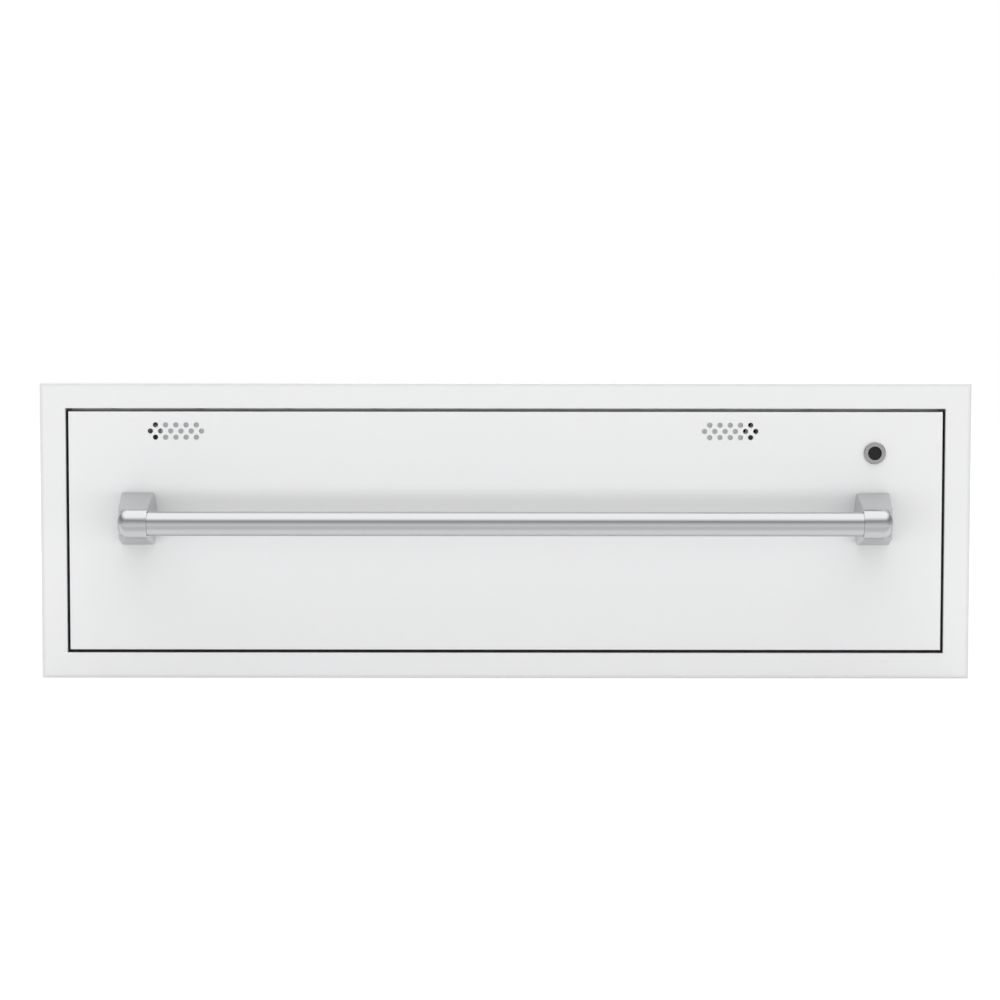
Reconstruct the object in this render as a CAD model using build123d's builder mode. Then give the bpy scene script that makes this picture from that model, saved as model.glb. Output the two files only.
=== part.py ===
from build123d import *
import os

# Built-in warming drawer, 30 inch class, with a flush front, moisture vents and a tubular handle.
#
# Millimetres, +Z up, the user stands on the -Y side. The origin is where the casing's bottom meets the
# cabinet: x = 0 on the unit's centre line, y = 0 on the cabinet's face, z = 0 under the casing's bottom sheet.

# ----------------------------------------------------------------------------
# Driving dimensions
# ----------------------------------------------------------------------------

# Face frame and the opening in it
FRAME_WIDTH = 762.0
FRAME_HEIGHT = 242.5
FRAME_SHEET = 1.5
FRAME_PROUD = 16.0  # the frame's front face stands this far in front of the cabinet
FRAME_LIP = 12.0  # in-turned lip that bears on the cabinet
FRAME_RETURN = 29.0  # depth of the return round the opening
FRAME_BEND = 1.0
FRAME_SIDE_BORDER = 20.8
FRAME_TOP_BORDER = 20.75

# Drawer front: a folded skin, closed at the back by a liner plate
REVEAL_SIDE = 2.4
REVEAL_TOP = 2.6
FRONT_DEPTH = 25.0
FRONT_SHEET = 1.2
FRONT_SIDE_LIP = 12.0
FRONT_TOP_LIP = 5.0  # narrow, to leave the vents free
FRONT_BEND = 0.8
LINER_SHEET = 1.0
LINER_INSET = 0.6
PAD_START = 7.0  # behind the skin's face, clear of the handle's bolts
PAD_TOP_GAP = 29.0  # leaves the vents' zone free

# Casing
CASING_SHEET = 1.0
CASING_DEPTH = 600.0
CASING_FLANGE = 12.0
CASING_REACH = 12.0  # the casing reaches this far into the hollow of the face frame
BULKHEAD_SHEET = 1.2
BULKHEAD_Y = 16.0
BULKHEAD_FLANGE = 12.0

# Heated cavity. Its centre line is left of the unit's, which leaves room for the controls on the right.
CAVITY_LEFT_GAP = 17.7  # from the casing's inner faces to the cavity's
CAVITY_FLOOR_GAP = 22.0
CAVITY_TOP_GAP = 11.0
CAVITY_BACK_GAP = 34.8
COMPARTMENT_WIDTH = 85.9
CAVITY_SHEET = 0.8
CAVITY_FLANGE = 7.0
PARTITION_GAP = 16.0
PARTITION_SHEET = 1.0
SOFT_GAP = 0.3  # insulation and rubber stay this far from what they press on
RIVET_GAP = 2.0  # insulation stands off the cavity's sides for the slides' rivets

# Telescopic slides: outer (fixed), middle and inner (on the drawer) members, with ball cages between them
SLIDE_SHEET = 1.2
SLIDE_HEIGHT = 45.0
SLIDE_THICKNESS = 12.7
SLIDE_BELOW_RAIL_TOP = 40.0
SLIDE_START_Y = 30.0
SLIDE_BACK_GAP = 35.2
MIDDLE_SHORTER = 20.0  # than the outer member
INNER_SHORTER = 10.0
MIDDLE_SETBACK = 2.0
OUTER_FLANGE = 9.6
MIDDLE_FLANGE = 8.6
INNER_FLANGE = 8.0
OUTER_BALL = 4.0
INNER_BALL = 3.2
BALL_RUNNING = 0.05
CAGE_SHEET = 0.5
CAGE_GAP = 0.35  # between a cage's web and the member beside it
CAGE_FLANGE = 7.0
CAGE_LENGTH = 200.0
CAGE_BALL_COUNT = 8
CAGE_BALL_CLEARANCE = 0.15
OUTER_CAGE_START_Y = 160.0
INNER_CAGE_START_Y = 165.0

# Drawer body
RAIL_SHEET = 1.5
RAIL_HEIGHT = 65.0
RAIL_BELOW_CEILING = 34.0
RAIL_LEDGE = 15.0
RAIL_SHORT = 25.0  # the rails end this far before the inner members
RAIL_TAB = 25.0
CROSSBAR_HEIGHT = 30.0
CROSSBAR_LEG = 15.0
CROSSBAR_INSET = 16.5  # from the rails' ends
TUB_SHEET = 1.0
TUB_SHIELD_GAP = 10.0
TUB_FRONT_GAP = 29.0
TUB_BACK_GAP = 4.5
TUB_RIM = 13.0
TUB_SIDE_GAP = 1.0
TUB_CORNER = 14.0
TUB_FLOOR_RADIUS = 8.0

# Wire rack on the tub's floor
RACK_FRAME_WIRE = 5.0
RACK_WIRE = 3.2
RACK_WELD = 0.4  # how far the welds sink the bars into the frame wire
RACK_LIFT = 12.0
RACK_MARGIN = 9.0
RACK_BAR_COUNT = 23
RACK_CORNER = 16.0
RACK_FOOT_INSET = 60.0
RACK_FOOT_RADIUS = 2.0

# Handle
TUBE_DIAMETER = 19.5
TUBE_WALL = 1.5
TUBE_STANDOFF = 58.0  # from the drawer front's face to the tube's axis
TUBE_SOCKET = 10.0
TUBE_FIT = 0.1
HANDLE_ABOVE_CENTRE = 10.2
POST_INSET = 40.8  # from the drawer front's side edges
POST_WIDTH = 31.6
POST_INNER_BULGE = 2.6  # the post's sides swell by this at the tube's height
POST_OUTER_BULGE = 3.0
POST_TAPER = 8.0  # the outer side comes in by this from the foot to the nose
POST_HEIGHT = 42.6
POST_FOOT = 3.0
POST_NOSE_RADIUS = 12.0
POST_FOOT_CORNER = 4.0
POST_NOSE_CORNER = 8.0
POST_INNER_CORNER = 1.5
BOLT_RADIUS = 2.5
BOLT_SPACING = 24.0
BOLT_GRIP = 14.0
BOLT_CLEARANCE = 0.2
BOLT_HEAD_RADIUS = 4.6
BOLT_HEAD_HEIGHT = 2.8
BOLT_SOCKET_FLATS = 3.0
BACKING_SHEET = 2.0
BACKING_HEIGHT = 50.0
BACKING_WIDTH = 36.0
BACKING_CORNER = 4.0

# Moisture vents in the drawer front, and the shutter strip that opens and shuts them
VENT_PITCH = 8.38
VENT_ROW = 5.05
VENT_RADIUS = 2.2
VENT_COUNT = 6  # holes in the middle row; the rows above and below have one less
VENT_BELOW_TOP = 15.9
LEFT_VENT_INSET = 67.2  # from the front's left edge to the left cluster's first hole
RIGHT_VENT_INSET = 152.9  # from the right cluster's last hole to the front's right edge
SHUTTER_SHEET = 0.8
SHUTTER_LEFT_SHORT = 9.0  # the strip ends this far inside the outer holes' centres
SHUTTER_RIGHT_SHORT = 10.9
SHUTTER_HEIGHT = 22.0
SHUTTER_HOLE_RADIUS = 1.9
SHUTTER_END_LAND = 0.8
SHUTTER_RUNNING = 0.2
SHUTTER_TAB_WIDTH = 14.0
SHUTTER_TAB_REACH = 9.0
SHUTTER_TAB_FINGER = 6.0
GUIDE_SHEET = 0.8
GUIDE_FOOT = 2.4
GUIDE_OVERLAP = 1.6
GUIDE_INSET = 27.8
DUCT_SHEET = 0.8
DUCT_MARGIN = 2.6

# Sight lens in the drawer front, and the pilot lamp behind it
SIGHT_INSET = 55.5  # from the front's right edge
SIGHT_BELOW_TOP = 33.7
BEZEL_RADIUS = 9.05
BEZEL_PROUD = 2.0
BEZEL_EDGE = 0.8
BARREL_RADIUS = 6.9
BARREL_LENGTH = 16.0
LENS_RADIUS = 5.6
LENS_RECESS = 3.0
LENS_FIT = 0.05
LENS_TAIL = 1.0
NUT_FLATS = 19.0
NUT_THICKNESS = 3.5
NUT_FIT = 0.05
LAMP_FLANGE_RADIUS = 7.5
LAMP_FLANGE = 1.2
LAMP_BARREL_RADIUS = 5.5
LAMP_BARREL_LENGTH = 22.0
LAMP_LENS_RADIUS = 4.0
LAMP_LENS_PROUD = 3.0
LAMP_LENS_EDGE = 1.5

# Gasket round the cavity's mouth and bumpers beyond it, all carried by the drawer front
GASKET_WIDTH = 5.0
GASKET_SIDE_INSET = 3.5  # its centre line outside the cavity's wall
GASKET_TOP_INSET = 3.0
GASKET_BOTTOM_INSET = 7.5
GASKET_CORNER = 8.0
BUMPER_RADIUS = 6.0
BUMPER_EDGE = 1.5
BUMPER_LOW_LIFT = 25.0  # over the casing's bottom
BUMPER_HIGH_DROP = 23.0  # under the casing's ceiling

# Control compartment
RECESS_MARGIN = 6.0
RECESS_FLOOR_GAP = 39.0  # over the casing's bottom
RECESS_LAMP_GAP = 21.2  # under the lamp's centre
RECESS_DEPTH = 28.0
RECESS_SHEET = 1.0
RECESS_FLANGE = 10.0
RECESS_SCREW_INSET = 10.0
KNOB_ABOVE_FLOOR = 52.0  # over the recess's floor
KNOB_SKIRT_RADIUS = 19.0
KNOB_SKIRT = 4.0
KNOB_GRIP_RADIUS = 15.0
KNOB_LENGTH = 21.0
KNOB_GAP = 1.0
KNOB_FLUTE_COUNT = 16
KNOB_FLUTE_RADIUS = 1.6
KNOB_EDGE = 1.2
KNOB_BORE = 14.7
KNOB_POINTER_LENGTH = 7.5
KNOB_POINTER_WIDTH = 1.2
KNOB_POINTER_DEPTH = 0.6
SHAFT_RADIUS = 3.0
SHAFT_RUNNING = 0.05
SHAFT_PRESS = 0.02
SHAFT_ENGAGEMENT = 14.0
THERMOSTAT_WIDTH = 42.0
THERMOSTAT_HEIGHT = 50.0
THERMOSTAT_DEPTH = 34.0
BUSHING_RADIUS = 5.0
BUSHING_CLEARANCE = 0.2

# Heating
ELEMENT_RADIUS = 3.25
ELEMENT_LIFT = 15.0
ELEMENT_PASS_COUNT = 4
ELEMENT_FRONT_MARGIN = 112.8
ELEMENT_BACK_MARGIN = 75.2
ELEMENT_LEFT_MARGIN = 55.0
ELEMENT_RIGHT_MARGIN = 60.0
ELEMENT_STRAIGHT = 5.0  # left at each side of the middle between two passes' bends
ELEMENT_TAIL = 4.2  # sheath beyond the partition
ELEMENT_CLEARANCE = 0.4
TERMINAL_RADIUS = 1.6
TERMINAL_LENGTH = 16.0
CERAMIC_RADIUS = 5.0
CERAMIC_LENGTH = 7.0
CERAMIC_FIT = 0.05
SUPPORT_WIDTH = 16.0
SUPPORT_SHEET = 1.0
SUPPORT_OVERHANG = 20.0
SUPPORT_FROM_WALL = 165.0
SHIELD_SHEET = 0.8
SHIELD_HEIGHT = 28.0
SHIELD_MARGIN_X = 14.0
SHIELD_MARGIN_Y = 33.0
SHIELD_NOTCH = 5.0
SLOT_LENGTH = 42.0
SLOT_WIDTH = 6.0
SLOT_X_COUNT = 8
SLOT_Y_COUNT = 7
SLOT_MARGIN_X = 35.0
SLOT_MARGIN_Y = 46.0
BULB_RADIUS = 3.0
BULB_LENGTH = 70.0
BULB_EDGE = 1.5
BULB_Y = 330.0
BULB_BELOW_CEILING = 10.0
BULB_WALL_GAP = 6.0
BULB_FIT = 0.1
CLIP_SHEET = 1.0
CLIP_MARGIN = 3.0
CLIP_SPACING = 44.0
CAPILLARY_RADIUS = 0.9
CAPILLARY_BEND = 9.0
CAPILLARY_LEAD = 40.0  # straight out of the bulb before it turns to the wall
CAPILLARY_OFFSET = 25.8  # its run in the compartment, from the partition

# Rear services
TERMINAL_BLOCK_WIDTH = 44.0
TERMINAL_BLOCK_HEIGHT = 24.0
TERMINAL_BLOCK_DEPTH = 18.0
TERMINAL_BLOCK_Z = 120.0
TERMINAL_WAY_COUNT = 3
WAY_WIDTH = 10.2
WAY_DEPTH = 7.2
WAY_HEIGHT = 6.0
GLAND_Z = 60.0
GLAND_BORE = 5.0
GLAND_BODY_RADIUS = 9.5
GLAND_CLEARANCE = 0.2
GLAND_FLANGE_RADIUS = 13.0
GLAND_FLANGE = 3.0
GLAND_INSIDE = 10.0
GLAND_OUTSIDE = 9.0
GLAND_EDGE = 1.5
WIRE_RADIUS = 1.3
WIRE_BEND = 8.0
WIRE_LEAD = 24.0  # straight before a wire's first bend
LAMP_RUN_DROP = 40.0  # the lamp's long lead runs this far below the cavity's ceiling

# Fasteners
SCREW_SHANK = 1.9
SCREW_HOLE = 2.1
SCREW_HEAD = 3.4
SCREW_HEAD_HEIGHT = 2.0
SCREW_LENGTH = 4.0
SCREW_SLOT = 0.9
SCREW_SLOT_DEPTH = 1.0
SCREW_EDGE = 1.2
RIVET_SHANK = 1.6
RIVET_HEAD = 3.1
RIVET_HEAD_HEIGHT = 1.0
RIVET_FLUSH_HEAD = 2.6
RIVET_EDGE = 0.7
FIXING_HOLE = 2.6
FIXING_SPACING = 96.0
FIXING_Y = 6.0
SIDE_RIVET_INSET = 28.5
SIDE_RIVET_COUNT = 3
TOP_RIVET_INSET = 36.2
TOP_RIVET_COUNT = 10
TOP_SCREW_INSET = 60.0
TOP_SCREW_COUNT = 4
BACK_SCREW_INSET = 41.0
BACK_LOW_SCREW_INSET = 144.7
BACK_LOW_SCREW_COUNT = 3
SLIDE_RIVET_INSET = 30.0
SLIDE_RIVET_COUNT = 4
RAIL_SCREW_INSET = 30.0
RAIL_SCREW_COUNT = 3
LINER_SCREW_EDGE = 0.1  # from a screw's head to the liner's edge
LINER_SCREW_SPACING = 62.0
TAB_SCREW_INSET = 13.0

# ----------------------------------------------------------------------------
# Places worked out from the driving dimensions
# ----------------------------------------------------------------------------


def spread(first, last, count):
    """Evenly spaced values from the first to the last."""
    return [first + (last - first) * i / (count - 1) for i in range(count)]


def grown(limits, by):
    """A range, longer at both ends."""
    return (limits[0] - by, limits[1] + by)


OPENING_WIDTH = FRAME_WIDTH - 2 * FRAME_SIDE_BORDER
OPENING_HEIGHT = FRAME_HEIGHT - 2 * FRAME_TOP_BORDER
FACE_Y = -FRAME_PROUD
CENTRE_Z = CASING_SHEET + FRAME_SHEET + OPENING_HEIGHT / 2
RETURN_END_Y = FACE_Y + FRAME_RETURN
CASING_INNER_X = OPENING_WIDTH / 2 + FRAME_SHEET
CASING_OUTER_X = CASING_INNER_X + CASING_SHEET
CASING_CEILING_Z = CASING_SHEET + 2 * FRAME_SHEET + OPENING_HEIGHT
CASING_TOP_Z = CASING_CEILING_Z + CASING_SHEET
BACK_PLATE_Y = CASING_DEPTH - CASING_SHEET
BULKHEAD_BACK_Y = BULKHEAD_Y + BULKHEAD_SHEET
FLANGE_UNDERSIDE_Z = CASING_CEILING_Z - CASING_SHEET

FRONT_WIDTH = OPENING_WIDTH - 2 * REVEAL_SIDE
FRONT_HEIGHT = OPENING_HEIGHT - 2 * REVEAL_TOP
SKIN_BACK_Y = FACE_Y + FRONT_SHEET
FRONT_BACK_Y = FACE_Y + FRONT_DEPTH
LINER_Y = FRONT_BACK_Y - LINER_SHEET
LINER_WIDTH = FRONT_WIDTH - 2 * LINER_INSET
LINER_HEIGHT = FRONT_HEIGHT - 2 * LINER_INSET
FRONT_TOP_Z = CENTRE_Z + FRONT_HEIGHT / 2
VENT_Z = FRONT_TOP_Z - VENT_BELOW_TOP
VENT_RUN = (VENT_COUNT - 1) * VENT_PITCH
LEFT_VENT_X = LEFT_VENT_INSET - FRONT_WIDTH / 2
RIGHT_VENT_X = FRONT_WIDTH / 2 - RIGHT_VENT_INSET - VENT_RUN
SHUTTER_LEFT_X = LEFT_VENT_X + SHUTTER_LEFT_SHORT
SHUTTER_RIGHT_X = RIGHT_VENT_X + VENT_RUN - SHUTTER_RIGHT_SHORT
SIGHT_X = FRONT_WIDTH / 2 - SIGHT_INSET
SIGHT_Z = FRONT_TOP_Z - SIGHT_BELOW_TOP
HANDLE_Z = CENTRE_Z + HANDLE_ABOVE_CENTRE
TUBE_Y = FACE_Y - TUBE_STANDOFF
POST_OUTER_X = FRONT_WIDTH / 2 - POST_INSET
POST_INNER_X = POST_OUTER_X - POST_WIDTH
POST_CENTRE_X = POST_INNER_X + POST_WIDTH / 2
POST_NOSE_OUTER_X = POST_OUTER_X - POST_TAPER
POST_FOOT_Y = (FACE_Y, FACE_Y - POST_FOOT)

COMPARTMENT_LEFT_X = CASING_INNER_X - COMPARTMENT_WIDTH
PARTITION_X = COMPARTMENT_LEFT_X - PARTITION_SHEET
CAVITY_LEFT_X = CAVITY_LEFT_GAP - CASING_INNER_X
CAVITY_RIGHT_X = PARTITION_X - PARTITION_GAP - CAVITY_SHEET
CAVITY_CENTRE_X = (CAVITY_LEFT_X + CAVITY_RIGHT_X) / 2
CAVITY_WIDTH = CAVITY_RIGHT_X - CAVITY_LEFT_X
CAVITY_FLOOR_Z = CASING_SHEET + CAVITY_FLOOR_GAP
CAVITY_CEILING_Z = CASING_CEILING_Z - CAVITY_TOP_GAP
CAVITY_BACK_Y = CASING_DEPTH - CAVITY_BACK_GAP
RECESS_LEFT_X = COMPARTMENT_LEFT_X + RECESS_MARGIN
RECESS_RIGHT_X = CASING_INNER_X - RECESS_MARGIN
RECESS_FLOOR_Z = CASING_SHEET + RECESS_FLOOR_GAP
RECESS_TOP_Z = SIGHT_Z - RECESS_LAMP_GAP
KNOB_Z = RECESS_FLOOR_Z + KNOB_ABOVE_FLOOR
RECESS_BACK_Y = BULKHEAD_BACK_Y + RECESS_DEPTH
COMPARTMENT_X = (RECESS_LEFT_X + RECESS_RIGHT_X) / 2  # the line of the knob, thermostat and terminal block

MIDDLE_WEB_U = SLIDE_SHEET + CAGE_SHEET + 2 * CAGE_GAP
INNER_WEB_U = SLIDE_THICKNESS - SLIDE_SHEET
OUTER_RACE_V = SLIDE_HEIGHT / 2 - SLIDE_SHEET
MIDDLE_OUTSIDE_V = OUTER_RACE_V - OUTER_BALL - 2 * BALL_RUNNING
MIDDLE_RACE_V = MIDDLE_OUTSIDE_V - SLIDE_SHEET
INNER_OUTSIDE_V = MIDDLE_RACE_V - INNER_BALL - 2 * BALL_RUNNING
OUTER_CAGE_U = SLIDE_SHEET + CAGE_GAP
INNER_CAGE_U = MIDDLE_WEB_U + SLIDE_SHEET + CAGE_GAP
RAIL_U = SLIDE_THICKNESS + RAIL_SHEET  # the rails' inner faces, from the cavity's walls
LEDGE_U = RAIL_U + RAIL_LEDGE

RAIL_TOP_Z = CAVITY_CEILING_Z - RAIL_BELOW_CEILING
SLIDE_CENTRE_Z = RAIL_TOP_Z - SLIDE_BELOW_RAIL_TOP
OUTER_MEMBER_LENGTH = CAVITY_BACK_Y - SLIDE_BACK_GAP - SLIDE_START_Y
MIDDLE_MEMBER_LENGTH = OUTER_MEMBER_LENGTH - MIDDLE_SHORTER
INNER_MEMBER_LENGTH = OUTER_MEMBER_LENGTH - INNER_SHORTER
RAIL_END_Y = SLIDE_START_Y + INNER_MEMBER_LENGTH - RAIL_SHORT
CROSSBAR_Y = RAIL_END_Y - CROSSBAR_INSET
SHIELD_TOP_Z = CAVITY_FLOOR_Z + SHIELD_HEIGHT
TUB_WIDTH = CAVITY_WIDTH - 2 * (LEDGE_U + TUB_SIDE_GAP)
TUB_START_Y = FRONT_BACK_Y + TUB_FRONT_GAP
TUB_LENGTH = CROSSBAR_Y - TUB_BACK_GAP - TUB_START_Y
TUB_Z = SHIELD_TOP_Z + TUB_SHIELD_GAP
TUB_TOP_Z = RAIL_TOP_Z + TUB_SHEET
TUB_CENTRE_Y = TUB_START_Y + TUB_LENGTH / 2

ELEMENT_RANGE_Y = (BULKHEAD_BACK_Y + ELEMENT_FRONT_MARGIN, CAVITY_BACK_Y - ELEMENT_BACK_MARGIN)
ELEMENT_Y = spread(*ELEMENT_RANGE_Y, ELEMENT_PASS_COUNT)
ELEMENT_BEND = (ELEMENT_Y[1] - ELEMENT_Y[0]) / 2 - ELEMENT_STRAIGHT
ELEMENT_Z = CAVITY_FLOOR_Z + ELEMENT_LIFT
TAIL_ENDS = [ELEMENT_Y[0], ELEMENT_Y[-1]]
ELEMENT_END_X = COMPARTMENT_LEFT_X + ELEMENT_TAIL
TERMINAL_END_X = ELEMENT_END_X + TERMINAL_LENGTH
BULB_X = CAVITY_RIGHT_X - BULB_WALL_GAP - BULB_RADIUS
BULB_Z = CAVITY_CEILING_Z - BULB_BELOW_CEILING
BULB_FRONT_Y = BULB_Y - BULB_LENGTH / 2
CAPILLARY_WALL_Y = BULB_FRONT_Y - CAPILLARY_LEAD
THERMOSTAT_Y = RECESS_BACK_Y + RECESS_SHEET
THERMOSTAT_BACK_Y = THERMOSTAT_Y + THERMOSTAT_DEPTH
THERMOSTAT_TOP_Z = KNOB_Z + THERMOSTAT_HEIGHT / 2
TERMINAL_BLOCK_Y = BACK_PLATE_Y - TERMINAL_BLOCK_DEPTH

SIDES = {"left": -1, "right": 1}
ALONG = {"x": (0, 90, 0), "y": (90, 0, 0), "z": (0, 0, 0)}

# ----------------------------------------------------------------------------
# Helpers
# ----------------------------------------------------------------------------


def upright(y):
    """Plane across the unit at depth y, seen from the front: its axes are the unit's x and z."""
    return Plane.XZ.offset(-y)


def block(x, y, z, mode=Mode.ADD):
    """Box between a low and a high value of each of x, y and z."""
    with Locations((x[0], y[0], z[0])):
        Box(x[1] - x[0], y[1] - y[0], z[1] - z[0], align=Align.MIN, mode=mode)


def ring(y, depth, outer, inner):
    """Rectangular ring round the unit's centre, from y backwards; outer and inner are (width, height)."""
    with BuildSketch(upright(y)) as outline:
        with Locations((0, CENTRE_Z)):
            Rectangle(*outer)
            Rectangle(*inner, mode=Mode.SUBTRACT)
    extrude(outline.sketch, amount=-depth)


def rods(places, along, radius, length, mode=Mode.ADD):
    """Round rods centred on the places, with their axes along x, y or z."""
    with Locations(*places):
        Cylinder(radius, length, rotation=ALONG[along], mode=mode)


def holes(places, along, radius, length):
    """Round holes centred on the places."""
    rods(places, along, radius, length, Mode.SUBTRACT)


def wall_x(side, u):
    """The x that lies u inside the cavity's wall on that side: -1 is left, 1 is right."""
    return CAVITY_CENTRE_X + side * (CAVITY_WIDTH / 2 - u)


def wall_block(side, u, y, z, mode=Mode.ADD):
    """Box beside a cavity wall: u is its range of distances from the wall."""
    block(sorted(wall_x(side, distance) for distance in u), y, z, mode)


def service_holes(x, length):
    """Holes along x through a wall, for the element's two ends and the thermostat's capillary."""
    holes([(x, y, ELEMENT_Z) for y in TAIL_ENDS], "x", ELEMENT_RADIUS + ELEMENT_CLEARANCE, length)
    holes([(x, CAPILLARY_WALL_Y, BULB_Z)], "x", CAPILLARY_RADIUS + ELEMENT_CLEARANCE, length)


def pan_screw():
    """Pan head screw with a cross recess: its head stands on z = 0 and its shank hangs below."""
    with BuildPart() as screw:
        with BuildSketch(Plane.XY):
            Circle(SCREW_HEAD)
        extrude(amount=SCREW_HEAD_HEIGHT)
        fillet(screw.edges().group_by(Axis.Z)[-1], SCREW_EDGE)
        with BuildSketch(Plane.XY.offset(SCREW_HEAD_HEIGHT)):
            Rectangle(SCREW_HEAD, SCREW_SLOT)
            Rectangle(SCREW_SLOT, SCREW_HEAD)
        extrude(amount=-SCREW_SLOT_DEPTH, mode=Mode.SUBTRACT)
        with BuildSketch(Plane.XY):
            Circle(SCREW_SHANK)
        extrude(amount=-SCREW_LENGTH)
    return screw.part


def pop_rivet(grip):
    """Domed rivet: its factory head stands on z = 0, its tail is set below the grip."""
    with BuildPart() as rivet:
        with BuildSketch(Plane.XY):
            Circle(RIVET_HEAD)
        extrude(amount=RIVET_HEAD_HEIGHT)
        fillet(rivet.edges().group_by(Axis.Z)[-1], RIVET_EDGE)
        with BuildSketch(Plane.XY):
            Circle(RIVET_SHANK)
        extrude(amount=-grip)
        with BuildSketch(Plane.XY.offset(-grip)):
            Circle(RIVET_FLUSH_HEAD)
        extrude(amount=-RIVET_HEAD_HEIGHT)
    return rivet.part


def flush_rivet(web, grip):
    """Countersunk rivet: its head fills the web's countersink below z = 0, its tail is set below the grip."""
    with BuildPart() as rivet:
        with BuildSketch(Plane.XY):
            Circle(RIVET_FLUSH_HEAD)
        with BuildSketch(Plane.XY.offset(-web)):
            Circle(RIVET_SHANK)
        loft()
        with BuildSketch(Plane.XY.offset(-web)):
            Circle(RIVET_SHANK)
        extrude(amount=-(grip - web))
        with BuildSketch(Plane.XY.offset(-grip)):
            Circle(RIVET_FLUSH_HEAD)
        extrude(amount=-RIVET_HEAD_HEIGHT)
    return rivet.part


def wire(points, radius, bend):
    """Round wire along straight runs and tangent arcs, one solid."""
    with BuildPart() as piece:
        with BuildLine() as route:
            FilletPolyline(*points, radius=bend)
        with BuildSketch(Plane(origin=points[0], z_dir=Vector(*points[1]) - Vector(*points[0]))):
            Circle(radius)
        sweep(path=route.line)
    return piece.part


# ----------------------------------------------------------------------------
# Where the fasteners go
# ----------------------------------------------------------------------------

FLANGE_LINE_X = CASING_INNER_X - CASING_FLANGE / 2
TOP_SCREWS = [
    (side * FLANGE_LINE_X, y, CASING_TOP_Z)
    for side in SIDES.values()
    for y in spread(TOP_SCREW_INSET, CASING_DEPTH - TOP_SCREW_INSET, TOP_SCREW_COUNT)
]
BACK_SIDE_SCREWS = [
    (side * FLANGE_LINE_X, CASING_DEPTH, z)
    for side in SIDES.values()
    for z in (BACK_SCREW_INSET, CASING_TOP_Z - BACK_SCREW_INSET)
]
BACK_LOW_Z = CASING_SHEET + CASING_FLANGE / 2
BACK_LOW_X = CASING_INNER_X - BACK_LOW_SCREW_INSET
BACK_LOW_SCREWS = [
    (x, CASING_DEPTH, BACK_LOW_Z) for x in spread(-BACK_LOW_X, BACK_LOW_X, BACK_LOW_SCREW_COUNT)
]
BACK_SCREWS = BACK_SIDE_SCREWS + BACK_LOW_SCREWS
RECESS_SCREWS = [
    (x, BULKHEAD_Y, z)
    for x in (RECESS_LEFT_X + RECESS_SCREW_INSET, RECESS_RIGHT_X - RECESS_SCREW_INSET)
    for z in (RECESS_FLOOR_Z - RECESS_FLANGE / 2, RECESS_TOP_Z + RECESS_FLANGE / 2)
]
SIDE_RIVET_REACH = OPENING_HEIGHT / 2 - SIDE_RIVET_INSET
SIDE_RIVETS = [
    (side * OPENING_WIDTH / 2, FIXING_Y, CENTRE_Z + z)
    for side in SIDES.values()
    for z in spread(-SIDE_RIVET_REACH, SIDE_RIVET_REACH, SIDE_RIVET_COUNT)
]
TOP_RIVET_REACH = OPENING_WIDTH / 2 - TOP_RIVET_INSET
TOP_RIVETS = [
    (x, FIXING_Y, CENTRE_Z + OPENING_HEIGHT / 2)
    for x in spread(-TOP_RIVET_REACH, TOP_RIVET_REACH, TOP_RIVET_COUNT)
]
SIDE_FIXINGS = [
    (side * CASING_INNER_X, FIXING_Y, CENTRE_Z + i * FIXING_SPACING / 2)
    for side in SIDES.values()
    for i in (-1, 1)
]
SLIDE_RIVET_Y = spread(
    SLIDE_START_Y + SLIDE_RIVET_INSET,
    SLIDE_START_Y + OUTER_MEMBER_LENGTH - SLIDE_RIVET_INSET,
    SLIDE_RIVET_COUNT,
)
RAIL_SCREW_Y = spread(
    SLIDE_START_Y + RAIL_SCREW_INSET,
    RAIL_END_Y - RAIL_SCREW_INSET,
    RAIL_SCREW_COUNT,
)
LINER_SCREW_X = LINER_WIDTH / 2 - SCREW_HEAD - LINER_SCREW_EDGE
LINER_SCREWS = [
    (side * LINER_SCREW_X, FRONT_BACK_Y, CENTRE_Z + i * LINER_SCREW_SPACING)
    for side in SIDES.values()
    for i in (-1, 0, 1)
]
TAB_SCREWS = [
    (wall_x(side, RAIL_U + RAIL_TAB / 2), FRONT_BACK_Y + RAIL_SHEET, z)
    for side in SIDES.values()
    for z in (RAIL_TOP_Z - TAB_SCREW_INSET, RAIL_TOP_Z - RAIL_HEIGHT + TAB_SCREW_INSET)
]
HANDLE_BOLTS = [
    (side * POST_CENTRE_X, SKIN_BACK_Y + BACKING_SHEET, HANDLE_Z + i * BOLT_SPACING / 2)
    for side in SIDES.values()
    for i in (-1, 1)
]


def vent_holes(first_x, shift=0.0):
    """Centres of one cluster of vents: a middle row, with a row half a pitch over above and below it."""
    middle = [(first_x + shift + i * VENT_PITCH, VENT_Z) for i in range(VENT_COUNT)]
    others = [
        (first_x + shift + (i + 0.5) * VENT_PITCH, VENT_Z + row * VENT_ROW)
        for i in range(VENT_COUNT - 1)
        for row in (-1, 1)
    ]
    return middle + others


VENTS = vent_holes(LEFT_VENT_X) + vent_holes(RIGHT_VENT_X)
SHUTTER_LAND = SHUTTER_HOLE_RADIUS + SHUTTER_END_LAND
SHUTTER_HOLES = [
    (x, z)
    for x, z in vent_holes(LEFT_VENT_X, VENT_PITCH / 2) + vent_holes(RIGHT_VENT_X, VENT_PITCH / 2)
    if SHUTTER_LEFT_X + SHUTTER_LAND < x < SHUTTER_RIGHT_X - SHUTTER_LAND
]

os.makedirs("parts", exist_ok=True)

# ----------------------------------------------------------------------------
# Face frame and casing
# ----------------------------------------------------------------------------

OUTER_SIZE = (FRAME_WIDTH, FRAME_HEIGHT)
OPENING_SIZE = (OPENING_WIDTH, OPENING_HEIGHT)

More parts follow.
